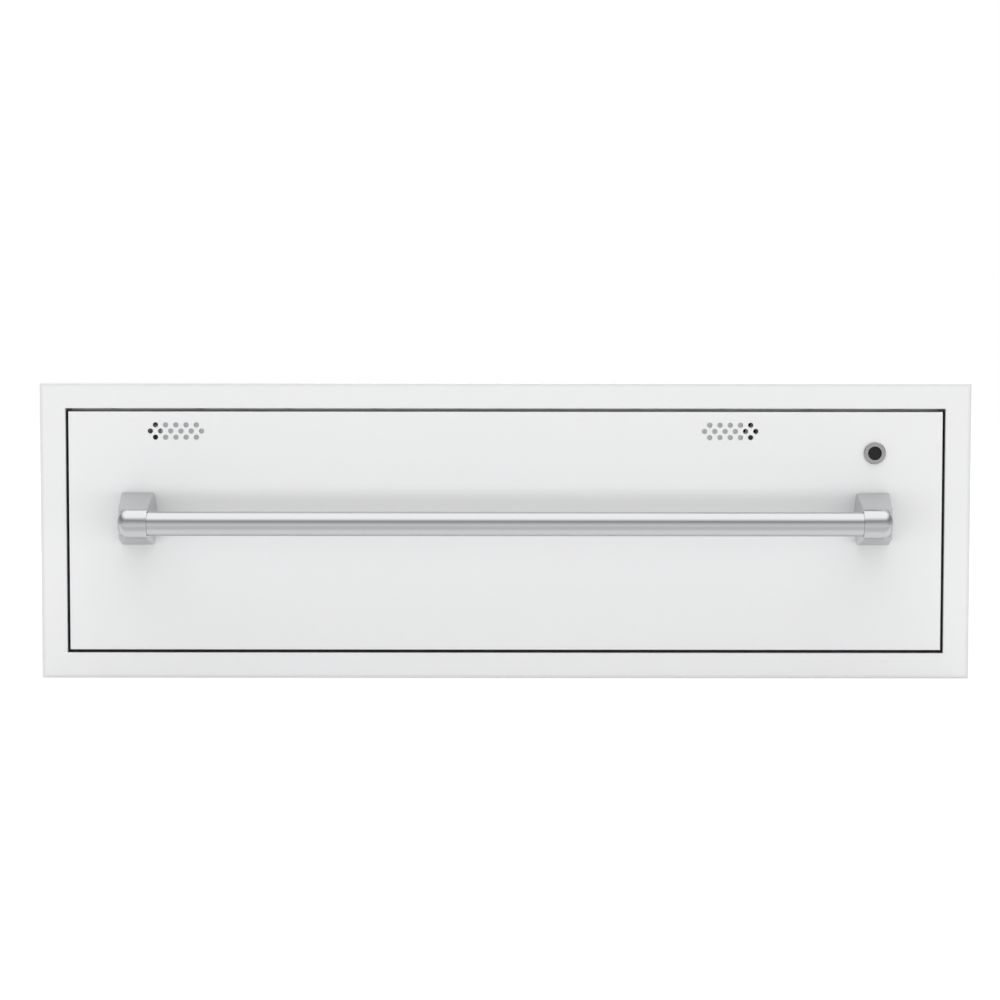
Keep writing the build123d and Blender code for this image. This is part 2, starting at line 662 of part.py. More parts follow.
with BuildPart() as face_frame:
    ring(FACE_Y, FRAME_SHEET, OUTER_SIZE, OPENING_SIZE)
    ring(FACE_Y, FRAME_PROUD, OUTER_SIZE, [size - 2 * FRAME_SHEET for size in OUTER_SIZE])
    ring(-FRAME_SHEET, FRAME_SHEET, OUTER_SIZE, [size - 2 * FRAME_LIP for size in OUTER_SIZE])
    ring(FACE_Y, FRAME_RETURN, [size + 2 * FRAME_SHEET for size in OPENING_SIZE], OPENING_SIZE)
    fillet(face_frame.edges().group_by(Axis.Y)[0], FRAME_BEND)
    holes(SIDE_FIXINGS, "x", FIXING_HOLE, 4 * FRAME_SHEET)
    holes(SIDE_RIVETS, "x", RIVET_SHANK, 4 * FRAME_SHEET)
    holes(TOP_RIVETS, "z", RIVET_SHANK, 4 * FRAME_SHEET)
face_frame.part.label = "face_frame"
export_step(face_frame.part, "parts/face_frame.step")

FLANGE_START_Y = RETURN_END_Y + CASING_SHEET
FLANGE_INNER_X = CASING_INNER_X - CASING_FLANGE

with BuildPart() as casing_shell:
    shell_y = (-CASING_REACH, BACK_PLATE_Y)
    block((-CASING_OUTER_X, CASING_OUTER_X), shell_y, (0, CASING_CEILING_Z))
    block((-CASING_INNER_X, CASING_INNER_X), shell_y, (CASING_SHEET, CASING_CEILING_Z), Mode.SUBTRACT)
    for side in SIDES.values():
        flange_x = sorted((side * FLANGE_INNER_X, side * CASING_INNER_X))
        block(flange_x, (FLANGE_START_Y, BACK_PLATE_Y), (FLANGE_UNDERSIDE_Z, CASING_CEILING_Z))
        block(flange_x, (BACK_PLATE_Y - CASING_SHEET, BACK_PLATE_Y), (CASING_SHEET, CASING_CEILING_Z))
    block(
        (-CASING_INNER_X, CASING_INNER_X),
        (BACK_PLATE_Y - CASING_SHEET, BACK_PLATE_Y),
        (CASING_SHEET, CASING_SHEET + CASING_FLANGE),
    )
    holes(SIDE_FIXINGS, "x", FIXING_HOLE, 4 * FRAME_SHEET)
    holes(SIDE_RIVETS, "x", RIVET_SHANK, 4 * FRAME_SHEET + 2 * CASING_SHEET)
    holes(TOP_SCREWS, "z", SCREW_HOLE, 2 * SCREW_LENGTH)
    holes(BACK_SCREWS, "y", SCREW_HOLE, 2 * SCREW_LENGTH)
casing_shell.part.label = "casing_shell"
export_step(casing_shell.part, "parts/casing_shell.step")

with BuildPart() as casing_top:
    block((-CASING_OUTER_X, CASING_OUTER_X), (-CASING_REACH, CASING_DEPTH), (CASING_CEILING_Z, CASING_TOP_Z))
    holes(TOP_SCREWS, "z", SCREW_HOLE, 2 * SCREW_LENGTH)
    holes(TOP_RIVETS, "z", RIVET_SHANK, 4 * FRAME_SHEET + 2 * CASING_SHEET)
casing_top.part.label = "casing_top"
export_step(casing_top.part, "parts/casing_top.step")

with BuildPart() as casing_back:
    block((-CASING_OUTER_X, CASING_OUTER_X), (BACK_PLATE_Y, CASING_DEPTH), (0, CASING_CEILING_Z))
    holes(BACK_SCREWS, "y", SCREW_HOLE, 2 * SCREW_LENGTH)
    gland_hole = GLAND_BODY_RADIUS + GLAND_CLEARANCE
    holes([(COMPARTMENT_X, CASING_DEPTH, GLAND_Z)], "y", gland_hole, 4 * CASING_SHEET)
casing_back.part.label = "casing_back"
export_step(casing_back.part, "parts/casing_back.step")

BULKHEAD_TOP_Z = FLANGE_UNDERSIDE_Z
BULKHEAD_X = (-CASING_INNER_X, CASING_INNER_X)
BULKHEAD_FLANGE_Y = (BULKHEAD_Y, BULKHEAD_BACK_Y + BULKHEAD_FLANGE)

with BuildPart() as front_bulkhead:
    block(BULKHEAD_X, (BULKHEAD_Y, BULKHEAD_BACK_Y), (CASING_SHEET, BULKHEAD_TOP_Z))
    block(BULKHEAD_X, BULKHEAD_FLANGE_Y, (CASING_SHEET, CASING_SHEET + BULKHEAD_SHEET))
    block(BULKHEAD_X, BULKHEAD_FLANGE_Y, (BULKHEAD_TOP_Z - BULKHEAD_SHEET, BULKHEAD_TOP_Z))
    for side in SIDES.values():
        flange_x = sorted((side * (CASING_INNER_X - BULKHEAD_SHEET), side * CASING_INNER_X))
        block(flange_x, BULKHEAD_FLANGE_Y, (CASING_SHEET, BULKHEAD_TOP_Z))
    block(
        (CAVITY_LEFT_X, CAVITY_RIGHT_X),
        (BULKHEAD_Y, BULKHEAD_BACK_Y),
        (CAVITY_FLOOR_Z, CAVITY_CEILING_Z),
        Mode.SUBTRACT,
    )
    block(
        (RECESS_LEFT_X, RECESS_RIGHT_X),
        (BULKHEAD_Y, BULKHEAD_BACK_Y),
        (RECESS_FLOOR_Z, RECESS_TOP_Z),
        Mode.SUBTRACT,
    )
    holes(RECESS_SCREWS, "y", SCREW_HOLE, 2 * SCREW_LENGTH)
    holes([(SIGHT_X, BULKHEAD_Y, SIGHT_Z)], "y", LAMP_BARREL_RADIUS + LENS_FIT, 4 * BULKHEAD_SHEET)
front_bulkhead.part.label = "front_bulkhead"
export_step(front_bulkhead.part, "parts/front_bulkhead.step")

with BuildPart() as control_partition:
    block(
        (PARTITION_X, COMPARTMENT_LEFT_X),
        (BULKHEAD_FLANGE_Y[1] + SOFT_GAP, BACK_PLATE_Y),
        (CASING_SHEET, CASING_CEILING_Z),
    )
    service_holes(PARTITION_X, 4 * PARTITION_SHEET)
    block(
        (PARTITION_X, COMPARTMENT_LEFT_X),
        (BACK_PLATE_Y - 2 * CASING_SHEET, BACK_PLATE_Y),
        (CASING_SHEET, 2 * CASING_SHEET + CASING_FLANGE),
        Mode.SUBTRACT,
    )
control_partition.part.label = "control_partition"
export_step(control_partition.part, "parts/control_partition.step")

# ----------------------------------------------------------------------------
# Heated cavity
# ----------------------------------------------------------------------------

CAVITY_X = (CAVITY_LEFT_X, CAVITY_RIGHT_X)
CAVITY_Z = (CAVITY_FLOOR_Z, CAVITY_CEILING_Z)
SLIDE_RIVETS = {
    name: [(wall_x(side, SLIDE_SHEET), y, SLIDE_CENTRE_Z) for y in SLIDE_RIVET_Y]
    for name, side in SIDES.items()
}
SLIDE_RIVET_LINES = SLIDE_RIVETS["left"] + SLIDE_RIVETS["right"]

with BuildPart() as cavity_liner:
    block(
        grown(CAVITY_X, CAVITY_SHEET),
        (BULKHEAD_BACK_Y, CAVITY_BACK_Y + CAVITY_SHEET),
        grown(CAVITY_Z, CAVITY_SHEET),
    )
    block(
        grown(CAVITY_X, CAVITY_SHEET + CAVITY_FLANGE),
        (BULKHEAD_BACK_Y, BULKHEAD_BACK_Y + CAVITY_SHEET),
        grown(CAVITY_Z, CAVITY_SHEET + CAVITY_FLANGE),
    )
    block(CAVITY_X, (BULKHEAD_BACK_Y, CAVITY_BACK_Y), CAVITY_Z, Mode.SUBTRACT)
    holes(SLIDE_RIVET_LINES, "x", RIVET_SHANK, 8 * CAVITY_SHEET)
    service_holes(CAVITY_RIGHT_X, 4 * CAVITY_SHEET)
cavity_liner.part.label = "cavity_liner"
export_step(cavity_liner.part, "parts/cavity_liner.step")

BLANKET_X = (-CASING_INNER_X + SOFT_GAP, PARTITION_X - SOFT_GAP)
BLANKET_Y = (BULKHEAD_FLANGE_Y[1] + SOFT_GAP, CASING_DEPTH - SCREW_LENGTH - SOFT_GAP)
BLANKET_Z = (CASING_SHEET + SOFT_GAP, CASING_TOP_Z - SCREW_LENGTH - SOFT_GAP)

with BuildPart() as insulation_blanket:
    block(BLANKET_X, BLANKET_Y, BLANKET_Z)
    block(
        grown(CAVITY_X, CAVITY_SHEET + RIVET_GAP),
        (BLANKET_Y[0], CAVITY_BACK_Y + CAVITY_SHEET + SOFT_GAP),
        grown(CAVITY_Z, CAVITY_SHEET + SOFT_GAP),
        Mode.SUBTRACT,
    )
    service_holes(PARTITION_X, 4 * PARTITION_GAP)
insulation_blanket.part.label = "insulation_blanket"
export_step(insulation_blanket.part, "parts/insulation_blanket.step")

ELEMENT_LEFT_X = CAVITY_LEFT_X + ELEMENT_LEFT_MARGIN
ELEMENT_RIGHT_X = CAVITY_RIGHT_X - ELEMENT_RIGHT_MARGIN
ELEMENT_ROUTE = [
    (ELEMENT_END_X, ELEMENT_Y[0]),
    (ELEMENT_LEFT_X, ELEMENT_Y[0]),
    (ELEMENT_LEFT_X, ELEMENT_Y[1]),
    (ELEMENT_RIGHT_X, ELEMENT_Y[1]),
    (ELEMENT_RIGHT_X, ELEMENT_Y[2]),
    (ELEMENT_LEFT_X, ELEMENT_Y[2]),
    (ELEMENT_LEFT_X, ELEMENT_Y[3]),
    (ELEMENT_END_X, ELEMENT_Y[3]),
]

with BuildPart() as heating_element:
    add(wire([(x, y, ELEMENT_Z) for x, y in ELEMENT_ROUTE], ELEMENT_RADIUS, ELEMENT_BEND))
heating_element.part.label = "heating_element"
export_step(heating_element.part, "parts/heating_element.step")

with BuildPart() as element_terminals:
    terminal_places = [(ELEMENT_END_X + TERMINAL_LENGTH / 2, y, ELEMENT_Z) for y in TAIL_ENDS]
    rods(terminal_places, "x", TERMINAL_RADIUS, TERMINAL_LENGTH)
element_terminals.part.label = "element_terminals"
export_step(element_terminals.part, "parts/element_terminals.step")

with BuildPart() as element_ceramics:
    ceramic_places = [(ELEMENT_END_X + CERAMIC_LENGTH / 2, y, ELEMENT_Z) for y in TAIL_ENDS]
    rods(ceramic_places, "x", CERAMIC_RADIUS, CERAMIC_LENGTH)
    holes(ceramic_places, "x", TERMINAL_RADIUS + CERAMIC_FIT, 2 * CERAMIC_LENGTH)
element_ceramics.part.label = "element_ceramics"
export_step(element_ceramics.part, "parts/element_ceramics.step")

SUPPORT_TOP_Z = ELEMENT_Z - ELEMENT_RADIUS - SOFT_GAP
SUPPORT_Y = (ELEMENT_Y[0] - SUPPORT_OVERHANG, ELEMENT_Y[-1] + SUPPORT_OVERHANG)

with BuildPart() as element_supports:
    support_u = (SUPPORT_FROM_WALL, SUPPORT_FROM_WALL + SUPPORT_WIDTH)
    hollow_z = (CAVITY_FLOOR_Z, SUPPORT_TOP_Z - SUPPORT_SHEET)
    for side in SIDES.values():
        wall_block(side, support_u, SUPPORT_Y, (CAVITY_FLOOR_Z, SUPPORT_TOP_Z))
        wall_block(side, grown(support_u, -SUPPORT_SHEET), SUPPORT_Y, hollow_z, Mode.SUBTRACT)
element_supports.part.label = "element_supports"
export_step(element_supports.part, "parts/element_supports.step")

SHIELD_X = (CAVITY_LEFT_X + SHIELD_MARGIN_X, CAVITY_RIGHT_X - SHIELD_MARGIN_X)
SHIELD_Y = (BULKHEAD_BACK_Y + SHIELD_MARGIN_Y, CAVITY_BACK_Y - SHIELD_MARGIN_Y)

slot_pitch_x = (SHIELD_X[1] - SHIELD_X[0] - 2 * SLOT_MARGIN_X - SLOT_LENGTH) / (SLOT_X_COUNT - 1)
slot_pitch_y = (SHIELD_Y[1] - SHIELD_Y[0] - 2 * SLOT_MARGIN_Y - SLOT_WIDTH) / (SLOT_Y_COUNT - 1)

with BuildPart() as heat_shield:
    under_shield_z = (CAVITY_FLOOR_Z, SHIELD_TOP_Z - SHIELD_SHEET)
    block(SHIELD_X, SHIELD_Y, (CAVITY_FLOOR_Z, SHIELD_TOP_Z))
    block(grown(SHIELD_X, -SHIELD_SHEET), SHIELD_Y, under_shield_z, Mode.SUBTRACT)
    for tail_y in TAIL_ENDS:
        block(
            (SHIELD_X[1] - SHIELD_SHEET, SHIELD_X[1]),
            (tail_y - SHIELD_NOTCH, tail_y + SHIELD_NOTCH),
            (CAVITY_FLOOR_Z, ELEMENT_Z + SHIELD_NOTCH),
            Mode.SUBTRACT,
        )
    with BuildSketch(Plane.XY.offset(SHIELD_TOP_Z)):
        with Locations((CAVITY_CENTRE_X, sum(SHIELD_Y) / 2)):
            with GridLocations(slot_pitch_x, slot_pitch_y, SLOT_X_COUNT, SLOT_Y_COUNT):
                SlotOverall(SLOT_LENGTH, SLOT_WIDTH)
    extrude(amount=-SHIELD_SHEET, mode=Mode.SUBTRACT)
heat_shield.part.label = "heat_shield"
export_step(heat_shield.part, "parts/heat_shield.step")

with BuildPart() as thermostat_bulb:
    rods([(BULB_X, BULB_Y, BULB_Z)], "y", BULB_RADIUS, BULB_LENGTH)
    fillet(thermostat_bulb.edges().group_by(Axis.Y)[-1], BULB_EDGE)
thermostat_bulb.part.label = "thermostat_bulb"
export_step(thermostat_bulb.part, "parts/thermostat_bulb.step")

with BuildPart() as bulb_clips:
    for clip_y in (BULB_Y - CLIP_SPACING / 2, BULB_Y + CLIP_SPACING / 2):
        block(
            (BULB_X - BULB_RADIUS - CLIP_MARGIN, CAVITY_RIGHT_X),
            (clip_y - CLIP_SHEET / 2, clip_y + CLIP_SHEET / 2),
            (BULB_Z - BULB_RADIUS - CLIP_MARGIN, BULB_Z + BULB_RADIUS + CLIP_MARGIN),
        )
        holes([(BULB_X, clip_y, BULB_Z)], "y", BULB_RADIUS + BULB_FIT, 2 * CLIP_SHEET)
bulb_clips.part.label = "bulb_clips"
export_step(bulb_clips.part, "parts/bulb_clips.step")

# ----------------------------------------------------------------------------
# Control compartment, to the right of the cavity
# ----------------------------------------------------------------------------

CAPILLARY_X = COMPARTMENT_LEFT_X + CAPILLARY_OFFSET
CAPILLARY_ROUTE = [
    (BULB_X, BULB_FRONT_Y, BULB_Z),
    (BULB_X, CAPILLARY_WALL_Y, BULB_Z),
    (CAPILLARY_X, CAPILLARY_WALL_Y, BULB_Z),
    (CAPILLARY_X, THERMOSTAT_BACK_Y + 2 * CAPILLARY_LEAD, BULB_Z),
    (COMPARTMENT_X, THERMOSTAT_BACK_Y + CAPILLARY_LEAD, THERMOSTAT_TOP_Z - CAPILLARY_BEND),
    (COMPARTMENT_X, THERMOSTAT_BACK_Y, THERMOSTAT_TOP_Z - CAPILLARY_BEND),
]

with BuildPart() as thermostat_capillary:
    add(wire(CAPILLARY_ROUTE, CAPILLARY_RADIUS, CAPILLARY_BEND))
thermostat_capillary.part.label = "thermostat_capillary"
export_step(thermostat_capillary.part, "parts/thermostat_capillary.step")

RECESS_X = (RECESS_LEFT_X, RECESS_RIGHT_X)
RECESS_Z = (RECESS_FLOOR_Z, RECESS_TOP_Z)

with BuildPart() as control_recess:
    block(grown(RECESS_X, RECESS_SHEET), (BULKHEAD_BACK_Y, THERMOSTAT_Y), grown(RECESS_Z, RECESS_SHEET))
    block(
        grown(RECESS_X, RECESS_SHEET),
        (BULKHEAD_BACK_Y, BULKHEAD_BACK_Y + RECESS_SHEET),
        grown(RECESS_Z, RECESS_SHEET + RECESS_FLANGE),
    )
    block(RECESS_X, (BULKHEAD_BACK_Y, RECESS_BACK_Y), RECESS_Z, Mode.SUBTRACT)
    holes([(COMPARTMENT_X, RECESS_BACK_Y, KNOB_Z)], "y", BUSHING_RADIUS + BUSHING_CLEARANCE, 4 * RECESS_SHEET)
    holes(RECESS_SCREWS, "y", SCREW_HOLE, 3 * SCREW_LENGTH)
control_recess.part.label = "control_recess"
export_step(control_recess.part, "parts/control_recess.step")

SHAFT_END_Y = RECESS_BACK_Y + RECESS_SHEET + SHAFT_ENGAGEMENT

with BuildPart() as thermostat_body:
    with BuildSketch(upright(THERMOSTAT_Y)):
        with Locations((COMPARTMENT_X, KNOB_Z)):
            RectangleRounded(THERMOSTAT_WIDTH, THERMOSTAT_HEIGHT, BUSHING_RADIUS)
    extrude(amount=-THERMOSTAT_DEPTH)
    with BuildSketch(upright(THERMOSTAT_Y)):
        with Locations((COMPARTMENT_X, KNOB_Z)):
            Circle(BUSHING_RADIUS)
    extrude(amount=RECESS_SHEET)
    with BuildSketch(upright(SHAFT_END_Y + KNOB_GAP)):
        with Locations((COMPARTMENT_X, KNOB_Z)):
            Circle(SHAFT_RADIUS + SHAFT_RUNNING)
    extrude(amount=SHAFT_END_Y - RECESS_BACK_Y + 2 * KNOB_GAP, mode=Mode.SUBTRACT)
thermostat_body.part.label = "thermostat_body"
export_step(thermostat_body.part, "parts/thermostat_body.step")

KNOB_BACK_Y = RECESS_BACK_Y - KNOB_GAP
KNOB_FRONT_Y = KNOB_BACK_Y - KNOB_LENGTH

with BuildPart() as control_knob:
    with BuildSketch(upright(KNOB_BACK_Y)):
        with Locations((COMPARTMENT_X, KNOB_Z)):
            Circle(KNOB_SKIRT_RADIUS)
    extrude(amount=KNOB_SKIRT)
    with BuildSketch(upright(KNOB_BACK_Y)):
        with Locations((COMPARTMENT_X, KNOB_Z)):
            Circle(KNOB_GRIP_RADIUS)
    extrude(amount=KNOB_LENGTH)
    fillet(control_knob.edges().group_by(Axis.Y)[0], KNOB_EDGE)
    with BuildSketch(upright(KNOB_BACK_Y - KNOB_SKIRT)):
        with Locations((COMPARTMENT_X, KNOB_Z)):
            with PolarLocations(KNOB_GRIP_RADIUS, KNOB_FLUTE_COUNT):
                Circle(KNOB_FLUTE_RADIUS)
    extrude(amount=KNOB_LENGTH, mode=Mode.SUBTRACT)
    with BuildSketch(upright(KNOB_FRONT_Y)):
        with Locations((COMPARTMENT_X, KNOB_Z + KNOB_GRIP_RADIUS / 2)):
            Rectangle(KNOB_POINTER_WIDTH, KNOB_POINTER_LENGTH)
    extrude(amount=-KNOB_POINTER_DEPTH, mode=Mode.SUBTRACT)
    with BuildSketch(upright(KNOB_BACK_Y)):
        with Locations((COMPARTMENT_X, KNOB_Z)):
            Circle(SHAFT_RADIUS + SHAFT_PRESS)
    extrude(amount=KNOB_BORE, mode=Mode.SUBTRACT)
control_knob.part.label = "control_knob"
export_step(control_knob.part, "parts/control_knob.step")

SHAFT_START_Y = KNOB_BACK_Y - KNOB_BORE

with BuildPart() as knob_shaft:
    with BuildSketch(upright(SHAFT_START_Y)):
        with Locations((COMPARTMENT_X, KNOB_Z)):
            Circle(SHAFT_RADIUS)
    extrude(amount=-(SHAFT_END_Y - SHAFT_START_Y))
knob_shaft.part.label = "knob_shaft"
export_step(knob_shaft.part, "parts/knob_shaft.step")

LAMP_END_Y = BULKHEAD_BACK_Y + LAMP_BARREL_LENGTH

with BuildPart() as pilot_lamp:
    with BuildSketch(upright(BULKHEAD_Y)):
        with Locations((SIGHT_X, SIGHT_Z)):
            Circle(LAMP_FLANGE_RADIUS)
            Circle(LAMP_LENS_RADIUS, mode=Mode.SUBTRACT)
    extrude(amount=LAMP_FLANGE)
    with BuildSketch(upright(BULKHEAD_Y)):
        with Locations((SIGHT_X, SIGHT_Z)):
            Circle(LAMP_BARREL_RADIUS)
    extrude(amount=-(LAMP_END_Y - BULKHEAD_Y))
pilot_lamp.part.label = "pilot_lamp"
export_step(pilot_lamp.part, "parts/pilot_lamp.step")

with BuildPart() as pilot_lens:
    with BuildSketch(upright(BULKHEAD_Y)):
        with Locations((SIGHT_X, SIGHT_Z)):
            Circle(LAMP_LENS_RADIUS - LENS_FIT)
    extrude(amount=LAMP_FLANGE + LAMP_LENS_PROUD)
    fillet(pilot_lens.edges().group_by(Axis.Y)[0], LAMP_LENS_EDGE)
pilot_lens.part.label = "pilot_lens"
export_step(pilot_lens.part, "parts/pilot_lens.step")

BLOCK_Z = (TERMINAL_BLOCK_Z - TERMINAL_BLOCK_HEIGHT / 2, TERMINAL_BLOCK_Z + TERMINAL_BLOCK_HEIGHT / 2)
BLOCK_CENTRE_Y = TERMINAL_BLOCK_Y + TERMINAL_BLOCK_DEPTH / 2
WAY_PITCH = TERMINAL_BLOCK_WIDTH / TERMINAL_WAY_COUNT
WAY_X = [COMPARTMENT_X + (i - (TERMINAL_WAY_COUNT - 1) / 2) * WAY_PITCH for i in range(TERMINAL_WAY_COUNT)]

with BuildPart() as terminal_block:
    block(
        (COMPARTMENT_X - TERMINAL_BLOCK_WIDTH / 2, COMPARTMENT_X + TERMINAL_BLOCK_WIDTH / 2),
        (TERMINAL_BLOCK_Y, BACK_PLATE_Y),
        BLOCK_Z,
    )
    for way_x in WAY_X:
        block(
            (way_x - WAY_WIDTH / 2, way_x + WAY_WIDTH / 2),
            (BLOCK_CENTRE_Y - WAY_DEPTH / 2, BLOCK_CENTRE_Y + WAY_DEPTH / 2),
            (BLOCK_Z[1] - WAY_HEIGHT, BLOCK_Z[1]),
            Mode.SUBTRACT,
        )
terminal_block.part.label = "terminal_block"
export_step(terminal_block.part, "parts/terminal_block.step")

# Internal wires: from the thermostat to the element's first terminal, from the thermostat and the element's
# second terminal to the terminal block, and the pilot lamp's two leads. They run clear of each other.
LEAD_Z = KNOB_Z - THERMOSTAT_HEIGHT / 4
LEAD_LEFT_X = COMPARTMENT_X - THERMOSTAT_WIDTH / 4
LEAD_RIGHT_X = COMPARTMENT_X + THERMOSTAT_WIDTH / 4
TURN_X = TERMINAL_END_X + 2 * WIRE_BEND
LAMP_LEAD = LAMP_BARREL_RADIUS / 2
LAMP_RUN_X = COMPARTMENT_LEFT_X + 2 * WIRE_BEND
LAMP_RUN_Z = CAVITY_CEILING_Z - LAMP_RUN_DROP
WIRE_ROUTES = [
    [
        (LEAD_LEFT_X, THERMOSTAT_BACK_Y, LEAD_Z),
        (LEAD_LEFT_X, ELEMENT_Y[0] - WIRE_LEAD, LEAD_Z),
        (TURN_X, ELEMENT_Y[0], ELEMENT_Z + WIRE_LEAD),
        (TURN_X, ELEMENT_Y[0], ELEMENT_Z),
        (TERMINAL_END_X, ELEMENT_Y[0], ELEMENT_Z),
    ],
    [
        (LEAD_RIGHT_X, THERMOSTAT_BACK_Y, LEAD_Z),
        (LEAD_RIGHT_X, THERMOSTAT_BACK_Y + 2 * WIRE_LEAD, LEAD_Z),
        (WAY_X[2] + WIRE_BEND, THERMOSTAT_BACK_Y + 4 * WIRE_LEAD, TERMINAL_BLOCK_Z),
        (WAY_X[2] + WIRE_BEND, TERMINAL_BLOCK_Y - 2 * WIRE_LEAD, TERMINAL_BLOCK_Z),
        (WAY_X[2], TERMINAL_BLOCK_Y - WIRE_LEAD, TERMINAL_BLOCK_Z),
        (WAY_X[2], TERMINAL_BLOCK_Y, TERMINAL_BLOCK_Z),
    ],
    [
        (TERMINAL_END_X, ELEMENT_Y[-1], ELEMENT_Z),
        (TURN_X, ELEMENT_Y[-1], ELEMENT_Z),
        (TURN_X, ELEMENT_Y[-1] + WIRE_LEAD, ELEMENT_Z),
        (WAY_X[1], TERMINAL_BLOCK_Y - WIRE_LEAD, TERMINAL_BLOCK_Z),
        (WAY_X[1], TERMINAL_BLOCK_Y, TERMINAL_BLOCK_Z),
    ],
    [
        (SIGHT_X - LAMP_LEAD, LAMP_END_Y, SIGHT_Z),
        (SIGHT_X - LAMP_LEAD, LAMP_END_Y + WIRE_LEAD, SIGHT_Z),
        (LAMP_RUN_X, LAMP_END_Y + 3 * WIRE_LEAD, LAMP_RUN_Z),
        (LAMP_RUN_X, TERMINAL_BLOCK_Y - 3 * WIRE_LEAD, LAMP_RUN_Z),
        (WAY_X[0], TERMINAL_BLOCK_Y - WIRE_LEAD, TERMINAL_BLOCK_Z),
        (WAY_X[0], TERMINAL_BLOCK_Y, TERMINAL_BLOCK_Z),
    ],
    [
        (SIGHT_X + LAMP_LEAD, LAMP_END_Y, SIGHT_Z),
        (SIGHT_X + LAMP_LEAD, THERMOSTAT_Y + THERMOSTAT_DEPTH / 2, SIGHT_Z),
        (SIGHT_X + LAMP_LEAD, THERMOSTAT_Y + THERMOSTAT_DEPTH / 2, THERMOSTAT_TOP_Z),
    ],
]

with BuildPart() as control_wiring:
    for wire_route in WIRE_ROUTES:
        add(wire(wire_route, WIRE_RADIUS, WIRE_BEND))
control_wiring.part.label = "control_wiring"
export_step(control_wiring.part, "parts/control_wiring.step")

with BuildPart() as cable_gland:
    with BuildSketch(upright(CASING_DEPTH - GLAND_INSIDE)):
        with Locations((COMPARTMENT_X, GLAND_Z)):
            Circle(GLAND_BODY_RADIUS)
    extrude(amount=-(GLAND_INSIDE + GLAND_OUTSIDE))
    with BuildSketch(upright(CASING_DEPTH)):
        with Locations((COMPARTMENT_X, GLAND_Z)):
            Circle(GLAND_FLANGE_RADIUS)
    extrude(amount=-GLAND_FLANGE)
    with BuildSketch(upright(BACK_PLATE_Y - GLAND_FLANGE)):
        with Locations((COMPARTMENT_X, GLAND_Z)):
            RegularPolygon(GLAND_FLANGE_RADIUS, 6)
    extrude(amount=-GLAND_FLANGE)
    fillet(cable_gland.edges().group_by(Axis.Y)[-1], GLAND_EDGE)
    holes([(COMPARTMENT_X, CASING_DEPTH, GLAND_Z)], "y", GLAND_BORE, 4 * GLAND_INSIDE)
cable_gland.part.label = "cable_gland"
export_step(cable_gland.part, "parts/cable_gland.step")

# ----------------------------------------------------------------------------
# Drawer front
# ----------------------------------------------------------------------------

FRONT_SIZE = (FRONT_WIDTH, FRONT_HEIGHT)

with BuildPart() as drawer_front_skin:
    with BuildSketch(upright(FACE_Y)):
        with Locations((0, CENTRE_Z)):
            Rectangle(*FRONT_SIZE)
    extrude(amount=-FRONT_SHEET)
    ring(FACE_Y, FRONT_DEPTH - LINER_SHEET, FRONT_SIZE, [size - 2 * FRONT_SHEET for size in FRONT_SIZE])
    lip_opening = (FRONT_WIDTH - 2 * FRONT_SIDE_LIP, FRONT_HEIGHT - 2 * FRONT_TOP_LIP)
    ring(LINER_Y - FRONT_SHEET, FRONT_SHEET, FRONT_SIZE, lip_opening)
    fillet(drawer_front_skin.edges().group_by(Axis.Y)[0], FRONT_BEND)
    with BuildSketch(upright(FACE_Y)):
        with Locations(*VENTS):
            Circle(VENT_RADIUS)
        with Locations((SIGHT_X, SIGHT_Z)):
            Circle(BARREL_RADIUS + NUT_FIT)
    extrude(amount=-FRONT_SHEET, mode=Mode.SUBTRACT)
    holes(HANDLE_BOLTS, "y", BOLT_RADIUS + BOLT_CLEARANCE, 4 * BACKING_SHEET)
    holes(LINER_SCREWS, "y", SCREW_HOLE, 2 * SCREW_LENGTH)
drawer_front_skin.part.label = "drawer_front_skin"
export_step(drawer_front_skin.part, "parts/drawer_front_skin.step")

SHUTTER_TRAVEL = VENT_PITCH / 2
SHUTTER_X = (SHUTTER_LEFT_X, SHUTTER_RIGHT_X)
SHUTTER_CENTRE_X = sum(SHUTTER_X) / 2
SHUTTER_Z = (VENT_Z - SHUTTER_HEIGHT / 2, VENT_Z + SHUTTER_HEIGHT / 2)
SHUTTER_Y = SKIN_BACK_Y + SHUTTER_RUNNING
SHUTTER_BACK_Y = SHUTTER_Y + SHUTTER_SHEET
TAB_X = (SHUTTER_CENTRE_X - SHUTTER_TAB_WIDTH / 2, SHUTTER_CENTRE_X + SHUTTER_TAB_WIDTH / 2)
TAB_Z = (VENT_Z - SHUTTER_SHEET / 2, VENT_Z + SHUTTER_SHEET / 2)
TAB_END_Y = FRONT_BACK_Y + SHUTTER_TAB_REACH

with BuildPart() as drawer_front_liner:
    with BuildSketch(upright(LINER_Y)):
        with Locations((0, CENTRE_Z)):
            Rectangle(LINER_WIDTH, LINER_HEIGHT)
        with Locations(*VENTS):
            Circle(VENT_RADIUS, mode=Mode.SUBTRACT)
        with Locations((SIGHT_X, SIGHT_Z)):
            Circle(LENS_RADIUS + SOFT_GAP, mode=Mode.SUBTRACT)
    extrude(amount=-LINER_SHEET)
    block(
        (TAB_X[0] - SHUTTER_TRAVEL - 2 * SHUTTER_RUNNING, TAB_X[1] + 2 * SHUTTER_RUNNING),
        (LINER_Y, FRONT_BACK_Y),
        grown(TAB_Z, 2 * SHUTTER_RUNNING),
        Mode.SUBTRACT,
    )
    holes(LINER_SCREWS, "y", SCREW_HOLE, 2 * SCREW_LENGTH)
    holes(TAB_SCREWS, "y", SCREW_HOLE, 2 * SCREW_LENGTH)
drawer_front_liner.part.label = "drawer_front_liner"
export_step(drawer_front_liner.part, "parts/drawer_front_liner.step")

